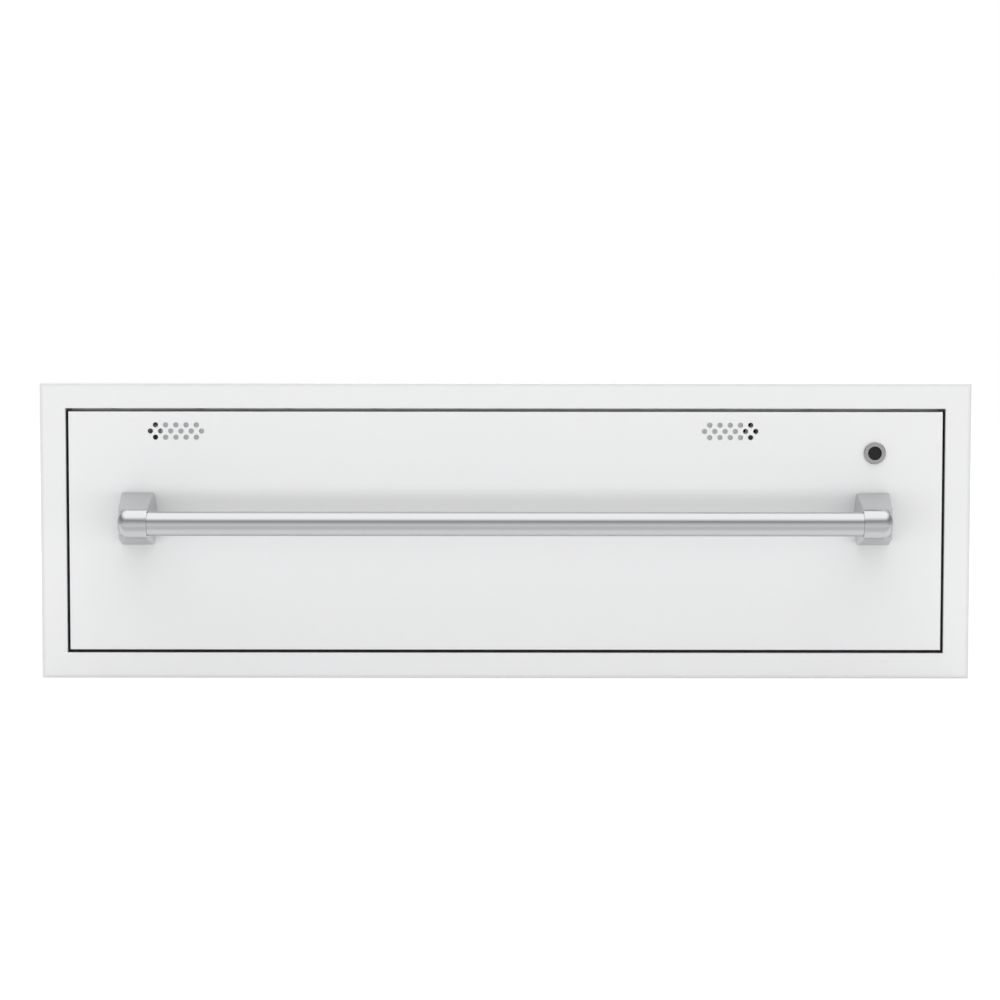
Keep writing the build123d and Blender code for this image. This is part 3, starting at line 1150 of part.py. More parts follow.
PAD_X = FRONT_WIDTH / 2 - FRONT_SHEET - SOFT_GAP
PAD_Z = (CENTRE_Z - FRONT_HEIGHT / 2 + FRONT_SHEET + SOFT_GAP, CENTRE_Z + FRONT_HEIGHT / 2 - PAD_TOP_GAP)
PAD_END_Y = FRONT_BACK_Y - SCREW_LENGTH - SOFT_GAP
NUT_RADIUS = NUT_FLATS / 3**0.5

with BuildPart() as front_insulation:
    block((-PAD_X, PAD_X), (FACE_Y + PAD_START, PAD_END_Y), PAD_Z)
    holes([(SIGHT_X, FACE_Y, SIGHT_Z)], "y", NUT_RADIUS + SOFT_GAP, 4 * FRONT_DEPTH)
front_insulation.part.label = "front_insulation"
export_step(front_insulation.part, "parts/front_insulation.step")

GUIDE_X = grown(SHUTTER_X, -GUIDE_INSET)
GUIDE_BACK_Y = SHUTTER_BACK_Y + SHUTTER_RUNNING + GUIDE_SHEET

with BuildPart() as shutter_guides:
    for side, edge_z in ((-1, SHUTTER_Z[0]), (1, SHUTTER_Z[1])):
        foot = sorted((edge_z + side * SHUTTER_RUNNING, edge_z + side * (SHUTTER_RUNNING + GUIDE_FOOT)))
        lip = sorted((edge_z - side * GUIDE_OVERLAP, edge_z + side * (SHUTTER_RUNNING + GUIDE_FOOT)))
        block(GUIDE_X, (SKIN_BACK_Y, GUIDE_BACK_Y), foot)
        block(GUIDE_X, (GUIDE_BACK_Y - GUIDE_SHEET, GUIDE_BACK_Y), lip)
shutter_guides.part.label = "shutter_guides"
export_step(shutter_guides.part, "parts/shutter_guides.step")

with BuildPart() as vent_shutter:
    with BuildSketch(upright(SHUTTER_Y)):
        with Locations((SHUTTER_CENTRE_X, VENT_Z)):
            Rectangle(SHUTTER_X[1] - SHUTTER_X[0], SHUTTER_HEIGHT)
        with Locations(*SHUTTER_HOLES):
            Circle(SHUTTER_HOLE_RADIUS, mode=Mode.SUBTRACT)
    extrude(amount=-SHUTTER_SHEET)
    block(TAB_X, (SHUTTER_Y, TAB_END_Y), TAB_Z)
    block(TAB_X, (TAB_END_Y - SHUTTER_SHEET, TAB_END_Y), (TAB_Z[0] - SHUTTER_TAB_FINGER, TAB_Z[1]))
vent_shutter.part.label = "vent_shutter"
export_step(vent_shutter.part, "parts/vent_shutter.step")

DUCT_HALF_HEIGHT = VENT_ROW + VENT_RADIUS + DUCT_MARGIN

with BuildPart() as vent_ducts:
    for first_x in (LEFT_VENT_X, RIGHT_VENT_X):
        duct_x = grown((first_x, first_x + VENT_RUN), VENT_RADIUS + DUCT_MARGIN)
        duct_z = (VENT_Z - DUCT_HALF_HEIGHT, VENT_Z + DUCT_HALF_HEIGHT)
        duct_y = (GUIDE_BACK_Y + SOFT_GAP, LINER_Y)
        block(duct_x, duct_y, duct_z)
        block(grown(duct_x, -DUCT_SHEET), duct_y, grown(duct_z, -DUCT_SHEET), Mode.SUBTRACT)
vent_ducts.part.label = "vent_ducts"
export_step(vent_ducts.part, "parts/vent_ducts.step")

LENS_FRONT_Y = FACE_Y - BEZEL_PROUD + LENS_RECESS

with BuildPart() as sight_bezel:
    with BuildSketch(upright(FACE_Y)):
        with Locations((SIGHT_X, SIGHT_Z)):
            Circle(BEZEL_RADIUS)
    extrude(amount=BEZEL_PROUD)
    fillet(sight_bezel.edges().group_by(Axis.Y)[0], BEZEL_EDGE)
    with BuildSketch(upright(FACE_Y)):
        with Locations((SIGHT_X, SIGHT_Z)):
            Circle(BARREL_RADIUS)
    extrude(amount=-BARREL_LENGTH)
    holes([(SIGHT_X, FACE_Y, SIGHT_Z)], "y", LENS_RADIUS + LENS_FIT, 4 * BARREL_LENGTH)
sight_bezel.part.label = "sight_bezel"
export_step(sight_bezel.part, "parts/sight_bezel.step")

with BuildPart() as sight_nut:
    with BuildSketch(upright(SKIN_BACK_Y)):
        with Locations((SIGHT_X, SIGHT_Z)):
            RegularPolygon(NUT_RADIUS, 6)
            Circle(BARREL_RADIUS + NUT_FIT, mode=Mode.SUBTRACT)
    extrude(amount=-NUT_THICKNESS)
sight_nut.part.label = "sight_nut"
export_step(sight_nut.part, "parts/sight_nut.step")

with BuildPart() as sight_lens:
    with BuildSketch(upright(LENS_FRONT_Y)):
        with Locations((SIGHT_X, SIGHT_Z)):
            Circle(LENS_RADIUS)
    extrude(amount=-(FRONT_BACK_Y + LENS_TAIL - LENS_FRONT_Y))
sight_lens.part.label = "sight_lens"
export_step(sight_lens.part, "parts/sight_lens.step")

GASKET_X = grown(CAVITY_X, GASKET_SIDE_INSET)
GASKET_Z = (CAVITY_FLOOR_Z - GASKET_BOTTOM_INSET, CAVITY_CEILING_Z + GASKET_TOP_INSET)
GASKET_DEPTH = BULKHEAD_Y - SOFT_GAP - FRONT_BACK_Y

with BuildPart() as drawer_gasket:
    with BuildSketch(upright(FRONT_BACK_Y)):
        with Locations((CAVITY_CENTRE_X, sum(GASKET_Z) / 2)):
            RectangleRounded(
                GASKET_X[1] - GASKET_X[0] + GASKET_WIDTH,
                GASKET_Z[1] - GASKET_Z[0] + GASKET_WIDTH,
                GASKET_CORNER + GASKET_WIDTH / 2,
            )
            RectangleRounded(
                GASKET_X[1] - GASKET_X[0] - GASKET_WIDTH,
                GASKET_Z[1] - GASKET_Z[0] - GASKET_WIDTH,
                GASKET_CORNER - GASKET_WIDTH / 2,
                mode=Mode.SUBTRACT,
            )
    extrude(amount=-GASKET_DEPTH)
drawer_gasket.part.label = "drawer_gasket"
export_step(drawer_gasket.part, "parts/drawer_gasket.step")

BUMPER_CENTRES = [
    (COMPARTMENT_X, CASING_SHEET + BUMPER_LOW_LIFT),
    (COMPARTMENT_X, CASING_CEILING_Z - BUMPER_HIGH_DROP),
]

with BuildPart() as front_bumpers:
    with BuildSketch(upright(FRONT_BACK_Y)):
        with Locations(*BUMPER_CENTRES):
            Circle(BUMPER_RADIUS)
    extrude(amount=-GASKET_DEPTH)
    fillet(front_bumpers.edges().group_by(Axis.Y)[-1], BUMPER_EDGE)
front_bumpers.part.label = "front_bumpers"
export_step(front_bumpers.part, "parts/front_bumpers.step")

# ----------------------------------------------------------------------------
# Handle
# ----------------------------------------------------------------------------


def post_outline(side, y, outer, half, corner):
    """Front view of a post at one depth; its sides swell far less where it is less tall."""
    swell = (2 * half / POST_HEIGHT) ** 4
    low_z, high_z = HANDLE_Z - half, HANDLE_Z + half
    inner_end = side * (POST_INNER_X + swell * POST_INNER_BULGE)
    outer_end = side * (outer - swell * POST_OUTER_BULGE)
    with BuildSketch(upright(y)) as outline:
        with BuildLine():
            ThreePointArc((inner_end, low_z), (side * POST_INNER_X, HANDLE_Z), (inner_end, high_z))
            Line((inner_end, high_z), (outer_end, high_z))
            ThreePointArc((outer_end, high_z), (side * outer, HANDLE_Z), (outer_end, low_z))
            Line((outer_end, low_z), (inner_end, low_z))
        make_face()
        corners = vertices().sort_by(Axis.X, reverse=side < 0)
        fillet(corners[:2], POST_INNER_CORNER)
        fillet(corners[2:], corner)
    return outline.sketch.face()


def handle_post(side):
    """Post on one side: a straight foot, a body lofted to a round nose, and the tube's socket."""
    inner_x = side * POST_INNER_X
    outer_x = side * POST_NOSE_OUTER_X
    foot = [post_outline(side, y, POST_OUTER_X, POST_HEIGHT / 2, POST_FOOT_CORNER) for y in POST_FOOT_Y]
    nose = post_outline(side, TUBE_Y, POST_NOSE_OUTER_X, POST_NOSE_RADIUS, POST_NOSE_CORNER)
    with BuildPart() as post:
        nose_middle = ((inner_x + outer_x) / 2, TUBE_Y, HANDLE_Z)
        rods([nose_middle], "x", POST_NOSE_RADIUS, POST_NOSE_OUTER_X - POST_INNER_X)
        fillet(post.edges().sort_by(Axis.X, reverse=side < 0)[-1], POST_NOSE_CORNER)
        loft(foot, ruled=True)
        loft([foot[1], nose], ruled=True)
        rods(
            [(inner_x, TUBE_Y, HANDLE_Z)],
            "x",
            TUBE_DIAMETER / 2 + TUBE_FIT,
            2 * (TUBE_SOCKET + TUBE_FIT),
            Mode.SUBTRACT,
        )
        holes(
            [place for place in HANDLE_BOLTS if place[0] * side > 0],
            "y",
            BOLT_RADIUS + BOLT_CLEARANCE,
            2 * (BOLT_GRIP + FRONT_SHEET + BACKING_SHEET),
        )
    return post


for name, side in SIDES.items():
    post = handle_post(side)
    post.part.label = f"handle_post_{name}"
    export_step(post.part, f"parts/handle_post_{name}.step")

TUBE_HALF_LENGTH = POST_INNER_X + TUBE_SOCKET

with BuildPart() as handle_tube:
    with BuildSketch(Plane.YZ.offset(-TUBE_HALF_LENGTH)):
        with Locations((TUBE_Y, HANDLE_Z)):
            Circle(TUBE_DIAMETER / 2)
            Circle(TUBE_DIAMETER / 2 - TUBE_WALL, mode=Mode.SUBTRACT)
    extrude(amount=2 * TUBE_HALF_LENGTH)
handle_tube.part.label = "handle_tube"
export_step(handle_tube.part, "parts/handle_tube.step")

with BuildPart() as handle_backings:
    with BuildSketch(upright(SKIN_BACK_Y)):
        for side in SIDES.values():
            with Locations((side * POST_CENTRE_X, HANDLE_Z)):
                RectangleRounded(BACKING_WIDTH, BACKING_HEIGHT, BACKING_CORNER)
    extrude(amount=-BACKING_SHEET)
    holes(HANDLE_BOLTS, "y", BOLT_RADIUS + BOLT_CLEARANCE, 4 * BACKING_SHEET)
handle_backings.part.label = "handle_backings"
export_step(handle_backings.part, "parts/handle_backings.step")

BACKING_BACK_Y = SKIN_BACK_Y + BACKING_SHEET
BOLT_TIP_Y = FACE_Y - BOLT_GRIP
BOLT_CENTRES = [(x, z) for x, _, z in HANDLE_BOLTS]

with BuildPart() as handle_bolts:
    with BuildSketch(upright(BACKING_BACK_Y)):
        with Locations(*BOLT_CENTRES):
            Circle(BOLT_HEAD_RADIUS)
    extrude(amount=-BOLT_HEAD_HEIGHT)
    with BuildSketch(upright(BACKING_BACK_Y + BOLT_HEAD_HEIGHT)):
        with Locations(*BOLT_CENTRES):
            RegularPolygon(BOLT_SOCKET_FLATS / 3**0.5, 6)
    extrude(amount=BOLT_HEAD_HEIGHT / 2, mode=Mode.SUBTRACT)
    with BuildSketch(upright(BACKING_BACK_Y)):
        with Locations(*BOLT_CENTRES):
            Circle(BOLT_RADIUS)
    extrude(amount=BACKING_BACK_Y - BOLT_TIP_Y)
handle_bolts.part.label = "handle_bolts"
export_step(handle_bolts.part, "parts/handle_bolts.step")

# ----------------------------------------------------------------------------
# Drawer body: rails, crossbar, tub and rack
# ----------------------------------------------------------------------------

RAIL_Y = (FRONT_BACK_Y, RAIL_END_Y)
RAIL_Z = (RAIL_TOP_Z - RAIL_HEIGHT, RAIL_TOP_Z)
RAIL_SCREWS = {
    name: [(wall_x(side, RAIL_U), y, SLIDE_CENTRE_Z) for y in RAIL_SCREW_Y]
    for name, side in SIDES.items()
}


def drawer_rail(name):
    """Folded rail: a web against the slide, a ledge under the tub's rim and a tab behind the drawer front."""
    side = SIDES[name]
    with BuildPart() as rail:
        wall_block(side, (SLIDE_THICKNESS, RAIL_U), RAIL_Y, RAIL_Z)
        wall_block(side, (SLIDE_THICKNESS, LEDGE_U), RAIL_Y, (RAIL_TOP_Z - RAIL_SHEET, RAIL_TOP_Z))
        wall_block(side, (SLIDE_THICKNESS, RAIL_U + RAIL_TAB), (RAIL_Y[0], RAIL_Y[0] + RAIL_SHEET), RAIL_Z)
        holes(RAIL_SCREWS[name], "x", SCREW_HOLE, 4 * RAIL_SHEET)
        tab_places = [place for place in TAB_SCREWS if (place[0] - CAVITY_CENTRE_X) * side > 0]
        holes(tab_places, "y", SCREW_HOLE, 4 * RAIL_SHEET)
    return rail


for name in SIDES:
    rail = drawer_rail(name)
    rail.part.label = f"drawer_rail_{name}"
    export_step(rail.part, f"parts/drawer_rail_{name}.step")

CROSSBAR_X = (wall_x(-1, RAIL_U), wall_x(1, RAIL_U))
CROSSBAR_Z = (RAIL_TOP_Z - CROSSBAR_HEIGHT, RAIL_TOP_Z - RAIL_SHEET)

with BuildPart() as drawer_crossbar:
    block(CROSSBAR_X, (CROSSBAR_Y, CROSSBAR_Y + RAIL_SHEET), CROSSBAR_Z)
    block(
        (wall_x(-1, LEDGE_U), wall_x(1, LEDGE_U)),
        (CROSSBAR_Y, CROSSBAR_Y + CROSSBAR_LEG),
        (RAIL_TOP_Z - RAIL_SHEET, RAIL_TOP_Z),
    )
drawer_crossbar.part.label = "drawer_crossbar"
export_step(drawer_crossbar.part, "parts/drawer_crossbar.step")

TUB_INNER_CORNER = TUB_CORNER - TUB_SHEET

with BuildPart() as drawer_tub:
    with BuildSketch(Plane.XY.offset(TUB_Z)):
        with Locations((CAVITY_CENTRE_X, TUB_CENTRE_Y)):
            RectangleRounded(TUB_WIDTH, TUB_LENGTH, TUB_CORNER)
    extrude(amount=TUB_TOP_Z - TUB_Z)
    fillet(drawer_tub.edges().group_by(Axis.Z)[0], TUB_FLOOR_RADIUS)
    offset(amount=-TUB_SHEET, openings=drawer_tub.faces().sort_by(Axis.Z)[-1])
    with BuildSketch(Plane.XY.offset(TUB_TOP_Z)):
        with Locations((CAVITY_CENTRE_X, TUB_CENTRE_Y)):
            RectangleRounded(TUB_WIDTH + 2 * TUB_RIM, TUB_LENGTH + 2 * TUB_RIM, TUB_CORNER)
            RectangleRounded(
                TUB_WIDTH - 2 * TUB_SHEET,
                TUB_LENGTH - 2 * TUB_SHEET,
                TUB_INNER_CORNER,
                mode=Mode.SUBTRACT,
            )
    extrude(amount=-TUB_SHEET)
drawer_tub.part.label = "drawer_tub"
export_step(drawer_tub.part, "parts/drawer_tub.step")

RACK_RADIUS = RACK_FRAME_WIRE / 2
RACK_FLOOR_Z = TUB_Z + TUB_SHEET
RACK_Z = RACK_FLOOR_Z + RACK_LIFT
RACK_HALF_X = TUB_WIDTH / 2 - TUB_SHEET - RACK_MARGIN - RACK_RADIUS
RACK_HALF_Y = TUB_LENGTH / 2 - TUB_SHEET - RACK_MARGIN - RACK_RADIUS
RACK_BAR_Z = RACK_Z + RACK_RADIUS + RACK_WIRE / 2 - RACK_WELD
RACK_BAR_PITCH = 2 * RACK_HALF_X / (RACK_BAR_COUNT + 1)
RACK_BAR_PLACES = [
    (CAVITY_CENTRE_X + (i - (RACK_BAR_COUNT - 1) / 2) * RACK_BAR_PITCH, TUB_CENTRE_Y, RACK_BAR_Z)
    for i in range(RACK_BAR_COUNT)
]
RACK_FOOT_X = RACK_HALF_X - RACK_FOOT_INSET
RACK_FEET = [
    (CAVITY_CENTRE_X + i * RACK_FOOT_X, TUB_CENTRE_Y + j * RACK_HALF_Y, RACK_FLOOR_Z + RACK_LIFT / 2)
    for i in (-1, 1)
    for j in (-1, 1)
]

with BuildPart() as wire_rack:
    with BuildLine(Plane(origin=(CAVITY_CENTRE_X, TUB_CENTRE_Y, RACK_Z))) as rack_frame:
        FilletPolyline(
            (RACK_HALF_X, -RACK_HALF_Y),
            (RACK_HALF_X, RACK_HALF_Y),
            (-RACK_HALF_X, RACK_HALF_Y),
            (-RACK_HALF_X, -RACK_HALF_Y),
            radius=RACK_CORNER,
            close=True,
        )
    with BuildSketch(Plane(origin=rack_frame.wire() @ 0, z_dir=rack_frame.wire() % 0)):
        Circle(RACK_RADIUS)
    sweep(path=rack_frame.wire())
    rods(RACK_BAR_PLACES, "y", RACK_WIRE / 2, 2 * RACK_HALF_Y + RACK_RADIUS)
    rods([(CAVITY_CENTRE_X, TUB_CENTRE_Y, RACK_Z)], "x", RACK_RADIUS, 2 * RACK_HALF_X)
    rods(RACK_FEET, "z", RACK_FOOT_RADIUS, RACK_LIFT)
wire_rack.part.label = "wire_rack"
export_step(wire_rack.part, "parts/wire_rack.step")

# ----------------------------------------------------------------------------
# Telescopic slides
# ----------------------------------------------------------------------------


def channel(side, web_u, flange_u, half_height, y):
    """Channel section beside a cavity wall: its web's range is at one end of its flanges' range."""
    z = (SLIDE_CENTRE_Z - half_height, SLIDE_CENTRE_Z + half_height)
    wall_block(side, web_u, y, z)
    wall_block(side, flange_u, y, (z[0], z[0] + SLIDE_SHEET))
    wall_block(side, flange_u, y, (z[1] - SLIDE_SHEET, z[1]))


def slide_outer(name):
    """Fixed member, riveted to the cavity's wall, countersunk for the rivets."""
    side = SIDES[name]
    with BuildPart() as member:
        y = (SLIDE_START_Y, SLIDE_START_Y + OUTER_MEMBER_LENGTH)
        channel(side, (0, SLIDE_SHEET), (0, OUTER_FLANGE), SLIDE_HEIGHT / 2, y)
        for place in SLIDE_RIVETS[name]:
            with BuildSketch(Plane(origin=place, z_dir=(-side, 0, 0))):
                Circle(RIVET_FLUSH_HEAD)
            with BuildSketch(Plane(origin=(wall_x(side, 0), place[1], place[2]), z_dir=(-side, 0, 0))):
                Circle(RIVET_SHANK)
            loft(mode=Mode.SUBTRACT)
    return member


def slide_middle(name):
    """Middle member: it runs in the outer one and carries the inner one."""
    with BuildPart() as member:
        start_y = SLIDE_START_Y + MIDDLE_SETBACK
        channel(
            SIDES[name],
            (MIDDLE_WEB_U, MIDDLE_WEB_U + SLIDE_SHEET),
            (MIDDLE_WEB_U, MIDDLE_WEB_U + MIDDLE_FLANGE),
            MIDDLE_OUTSIDE_V,
            (start_y, start_y + MIDDLE_MEMBER_LENGTH),
        )
    return member


def slide_inner(name):
    """Inner member, screwed to the drawer's rail."""
    with BuildPart() as member:
        channel(
            SIDES[name],
            (INNER_WEB_U, SLIDE_THICKNESS),
            (SLIDE_THICKNESS - INNER_FLANGE, SLIDE_THICKNESS),
            INNER_OUTSIDE_V,
            (SLIDE_START_Y, SLIDE_START_Y + INNER_MEMBER_LENGTH),
        )
        holes(RAIL_SCREWS[name], "x", SCREW_HOLE, 4 * RAIL_SHEET + 2 * SLIDE_SHEET)
    return member


def ball_cage(side, web_u, race_v, ball, start_y):
    """Ball cage: a channel of thin sheet whose flanges hold two rows of balls, each a solid of its own."""
    y = (start_y, start_y + CAGE_LENGTH)
    flange = (web_u, web_u + CAGE_FLANGE)
    ball_u = web_u + CAGE_FLANGE / 2 + CAGE_SHEET
    ball_v = race_v - ball / 2 - BALL_RUNNING
    spacing = CAGE_LENGTH / CAGE_BALL_COUNT
    centres = [
        (wall_x(side, ball_u), start_y + (i + 0.5) * spacing, SLIDE_CENTRE_Z + row * ball_v)
        for i in range(CAGE_BALL_COUNT)
        for row in (-1, 1)
    ]
    with BuildPart() as cage:
        edge_v = ball_v + CAGE_SHEET / 2
        wall_block(side, (web_u, web_u + CAGE_SHEET), y, (SLIDE_CENTRE_Z - edge_v, SLIDE_CENTRE_Z + edge_v))
        for row in (-1, 1):
            row_z = SLIDE_CENTRE_Z + row * ball_v
            wall_block(side, flange, y, (row_z - CAGE_SHEET / 2, row_z + CAGE_SHEET / 2))
        holes(centres, "z", ball / 2 + CAGE_BALL_CLEARANCE, 4 * CAGE_SHEET)
        with Locations(*centres):
            Sphere(ball / 2)
    return cage


for name, side in SIDES.items():
    slide_parts = {
        f"slide_outer_{name}": slide_outer(name),
        f"slide_middle_{name}": slide_middle(name),
        f"slide_inner_{name}": slide_inner(name),
        f"ball_cage_outer_{name}": ball_cage(side, OUTER_CAGE_U, OUTER_RACE_V, OUTER_BALL, OUTER_CAGE_START_Y),
        f"ball_cage_inner_{name}": ball_cage(side, INNER_CAGE_U, MIDDLE_RACE_V, INNER_BALL, INNER_CAGE_START_Y),
    }
    for label, piece in slide_parts.items():
        piece.part.label = label
        export_step(piece.part, f"parts/{label}.step")

# ----------------------------------------------------------------------------
# Fasteners
# ----------------------------------------------------------------------------


def facing(places, direction):
    """Planes at the places whose normals point the way the fasteners' heads face."""
    return [Plane(origin=place, z_dir=direction) for place in places]


TOP_GRIP = FRAME_SHEET + CASING_SHEET

with BuildPart() as casing_screws:
    with Locations(
        *facing(TOP_SCREWS, (0, 0, 1)),
        *facing(BACK_SCREWS, (0, 1, 0)),
        *facing(RECESS_SCREWS, (0, -1, 0)),
    ):
        add(pan_screw())
casing_screws.part.label = "casing_screws"
export_step(casing_screws.part, "parts/casing_screws.step")

with BuildPart() as rivets:
    with Locations(*facing(TOP_RIVETS, (0, 0, -1))):
        add(pop_rivet(TOP_GRIP))
    for name, side in SIDES.items():
        with Locations(*facing([place for place in SIDE_RIVETS if place[0] * side > 0], (-side, 0, 0))):
            add(pop_rivet(TOP_GRIP))
        with Locations(*facing(SLIDE_RIVETS[name], (-side, 0, 0))):
            add(flush_rivet(SLIDE_SHEET, SLIDE_SHEET + CAVITY_SHEET))
rivets.part.label = "rivets"
export_step(rivets.part, "parts/rivets.step")

with BuildPart() as drawer_screws:
    with Locations(*facing(LINER_SCREWS, (0, 1, 0)), *facing(TAB_SCREWS, (0, 1, 0))):
        add(pan_screw())
    for name, side in SIDES.items():
        with Locations(*facing(RAIL_SCREWS[name], (-side, 0, 0))):
            add(pan_screw())
drawer_screws.part.label = "drawer_screws"
export_step(drawer_screws.part, "parts/drawer_screws.step")
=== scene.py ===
# %% [markdown]
# # A built-in warming drawer
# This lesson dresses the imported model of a 762 mm warming drawer: a white powder-coated trim and drawer
# front with a chrome tube handle, and a galvanised casing behind them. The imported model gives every
# rigid piece in its place. The lesson adds the camera, the studio, one finish for each material, and the
# small details that a solid model leaves out. All lengths are in metres.

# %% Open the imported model
from math import pi, radians

import bmesh
import bpy
from mathutils import Matrix, Vector
from mathutils.noise import fractal


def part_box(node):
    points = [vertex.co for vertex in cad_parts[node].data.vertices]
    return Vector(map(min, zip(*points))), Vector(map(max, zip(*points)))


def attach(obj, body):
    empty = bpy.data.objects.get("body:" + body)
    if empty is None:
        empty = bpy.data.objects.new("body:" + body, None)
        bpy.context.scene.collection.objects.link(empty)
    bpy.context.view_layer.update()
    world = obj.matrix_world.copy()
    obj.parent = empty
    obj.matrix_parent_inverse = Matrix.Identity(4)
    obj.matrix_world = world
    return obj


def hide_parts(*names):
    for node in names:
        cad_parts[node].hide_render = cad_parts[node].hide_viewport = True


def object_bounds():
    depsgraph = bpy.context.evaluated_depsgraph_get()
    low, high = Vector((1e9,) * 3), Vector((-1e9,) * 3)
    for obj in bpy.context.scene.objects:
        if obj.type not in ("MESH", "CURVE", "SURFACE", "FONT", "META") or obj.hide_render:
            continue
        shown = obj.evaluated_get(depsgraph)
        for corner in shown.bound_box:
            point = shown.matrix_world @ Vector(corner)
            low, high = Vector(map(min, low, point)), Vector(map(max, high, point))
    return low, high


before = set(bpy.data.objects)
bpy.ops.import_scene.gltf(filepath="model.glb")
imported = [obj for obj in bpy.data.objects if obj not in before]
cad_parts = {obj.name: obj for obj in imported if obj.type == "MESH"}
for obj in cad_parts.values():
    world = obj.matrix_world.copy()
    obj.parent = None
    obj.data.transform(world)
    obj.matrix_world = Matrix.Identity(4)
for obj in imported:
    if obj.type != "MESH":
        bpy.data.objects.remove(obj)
cad_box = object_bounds()
MM = 0.001
print("nodes in the packed model:", len(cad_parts))

# %% [markdown]
# ## The camera
# The trim and the drawer front are true rectangles, so their corners in a picture say where the camera
# stood: a little above the drawer, tilted down by under four degrees. A long lens, 93.6 mm on a 36 mm
# sensor, keeps the sides of the trim nearly parallel. The turns are written as a turntable, a tilt and a
# roll, the way a tripod head works.

# %% Place the camera
CAMERA_PLACE = Vector((-0.35 * MM, -2142.97 * MM, 267.08 * MM))
CAMERA_TURN = radians(0.1077)
CAMERA_TILT_DOWN = radians(3.7253)
CAMERA_ROLL = radians(0.04)
LENS_MM, SENSOR_MM = 93.6, 36


def into_scene(name, data):
    made = bpy.data.objects.new(name, data)
    bpy.context.scene.collection.objects.link(made)
    return made


camera = into_scene("camera", bpy.data.cameras.new("camera"))
camera.data.lens = LENS_MM
camera.data.sensor_width = SENSOR_MM
camera.matrix_world = (
    Matrix.Translation(CAMERA_PLACE)
    @ Matrix.Rotation(CAMERA_TURN, 4, "Z")
    @ Matrix.Rotation(pi / 2 - CAMERA_TILT_DOWN, 4, "X")
    @ Matrix.Rotation(CAMERA_ROLL, 4, "Z")
)
bpy.context.scene.camera = camera
bpy.context.scene.view_settings.view_transform = "Standard"
print("camera stands", round(-CAMERA_PLACE.y, 3), "m in front of the cabinet face")

# %% [markdown]
# ## Helpers for node trees
# Materials, the world and the repeated details are all node trees. A few small helpers keep them
# readable. The first feeds a socket, with a link where the value is another node's socket and a plain
# value elsewhere, and the second makes a node and feeds its sockets by name.

# %% Make nodes and feed them
def feed(tree, socket, value):
    if isinstance(value, bpy.types.NodeSocket):
        tree.links.new(value, socket)
    else:
        socket.default_value = value


def node(tree, kind, settings=None, **inputs):
    made = tree.nodes.new(kind)
    for name, value in (settings or {}).items():
        setattr(made, name, value)
    for name, value in inputs.items():
        feed(tree, made.inputs[name.replace("_", " ")], value)
    return made


# %% [markdown]
# The rest do sums. Besides plain sums and products there is one that runs from low to high while another
# value runs from start to end, and holds its end values outside that.

# %% Sums of numbers and of vectors
def sum_node(tree, operation, *values, clamp=False):
    made = node(tree, "ShaderNodeMath", {"operation": operation, "use_clamp": clamp})
    for socket, value in zip(made.inputs, values):
        feed(tree, socket, value)
    return made.outputs[0]


def product(tree, first, *others):
    for other in others:
        first = sum_node(tree, "MULTIPLY", first, other)
    return first


def ranged(tree, value, start, end, low=0.0, high=1.0):
    return node(
        tree, "ShaderNodeMapRange", Value=value, From_Min=start, From_Max=end, To_Min=low, To_Max=high
    ).outputs["Result"]


def vector_sum(tree, operation, *vectors):
    made = node(tree, "ShaderNodeVectorMath", {"operation": operation})
    for socket, value in zip(made.inputs, vectors):
        feed(tree, socket, value)
    return made.outputs[0]


def parts_of(tree, vector):
    return node(tree, "ShaderNodeSeparateXYZ", Vector=vector).outputs


def vector_of(tree, **parts):
    return node(tree, "ShaderNodeCombineXYZ", **parts).outputs[0]


# %% [markdown]
# A Mix node keeps a pair of sockets for each kind of data, all named A and B, so the colour pair is
# found by its number.

# %% Mixes of colours and of shaders
def mix_colours(tree, share, first, second):
    made = node(tree, "ShaderNodeMix", {"data_type": "RGBA"}, Factor=share)
    feed(tree, made.inputs[6], first)
    feed(tree, made.inputs[7], second)
    return made.outputs[2]


def mix_shaders(tree, share, first, second):
    made = node(tree, "ShaderNodeMixShader", Fac=share)
    feed(tree, made.inputs[1], first)
    feed(tree, made.inputs[2], second)
    return made.outputs[0]


# %% [markdown]
# ## The studio
# White enamel shows every change of light, and chrome shows the room itself. The room is brightest
# overhead, darker above eye level and light again at the floor, which gives the tube its bright upper
# band, its thin dark line and its mid-grey belly. To the far left and right it is darker, which gives
# the posts their grey ends. A gradient on the world does that for reflections and, a little weaker, for
# the soft fill. The camera itself sees plain white behind the drawer.

# %% Shade the room
ROOM_BANDS = [  # height of the direction (-1 down, 0 level, 1 up), brightness
    (-1.00, 0.70),
    (-0.04, 0.87),
    (0.10, 0.85),
    (0.34, 0.50),
    (0.52, 0.50),
    (0.66, 1.00),
    (0.84, 1.58),
    (1.00, 1.58),
]
SIDES_FROM, SIDES_FULL = 0.55, 0.85  # how far to the side the room starts and ends to get darker
SIDES_SHARE = 0.75
FILL_SHARE = 0.86

world = bpy.data.worlds.new("studio")
bpy.context.scene.world = world
world.use_nodes = True
room = world.node_tree
room.nodes.clear()
heading = parts_of(room, node(room, "ShaderNodeTexCoord").outputs["Generated"])
share_up = sum_node(room, "MULTIPLY_ADD", heading["Z"], 0.5, 0.5)
brightest = max(brightness for level, brightness in ROOM_BANDS)
ramp = node(room, "ShaderNodeValToRGB", Fac=share_up)
stops = ramp.color_ramp.elements
stops.remove(stops[1])
for count, (level, brightness) in enumerate(ROOM_BANDS):
    stop = stops[0] if count == 0 else stops.new(1)
    stop.position = level / 2 + 0.5
    grey = brightness / brightest
    stop.color = (grey, grey, grey, 1)
print("bands in the room:", len(stops))

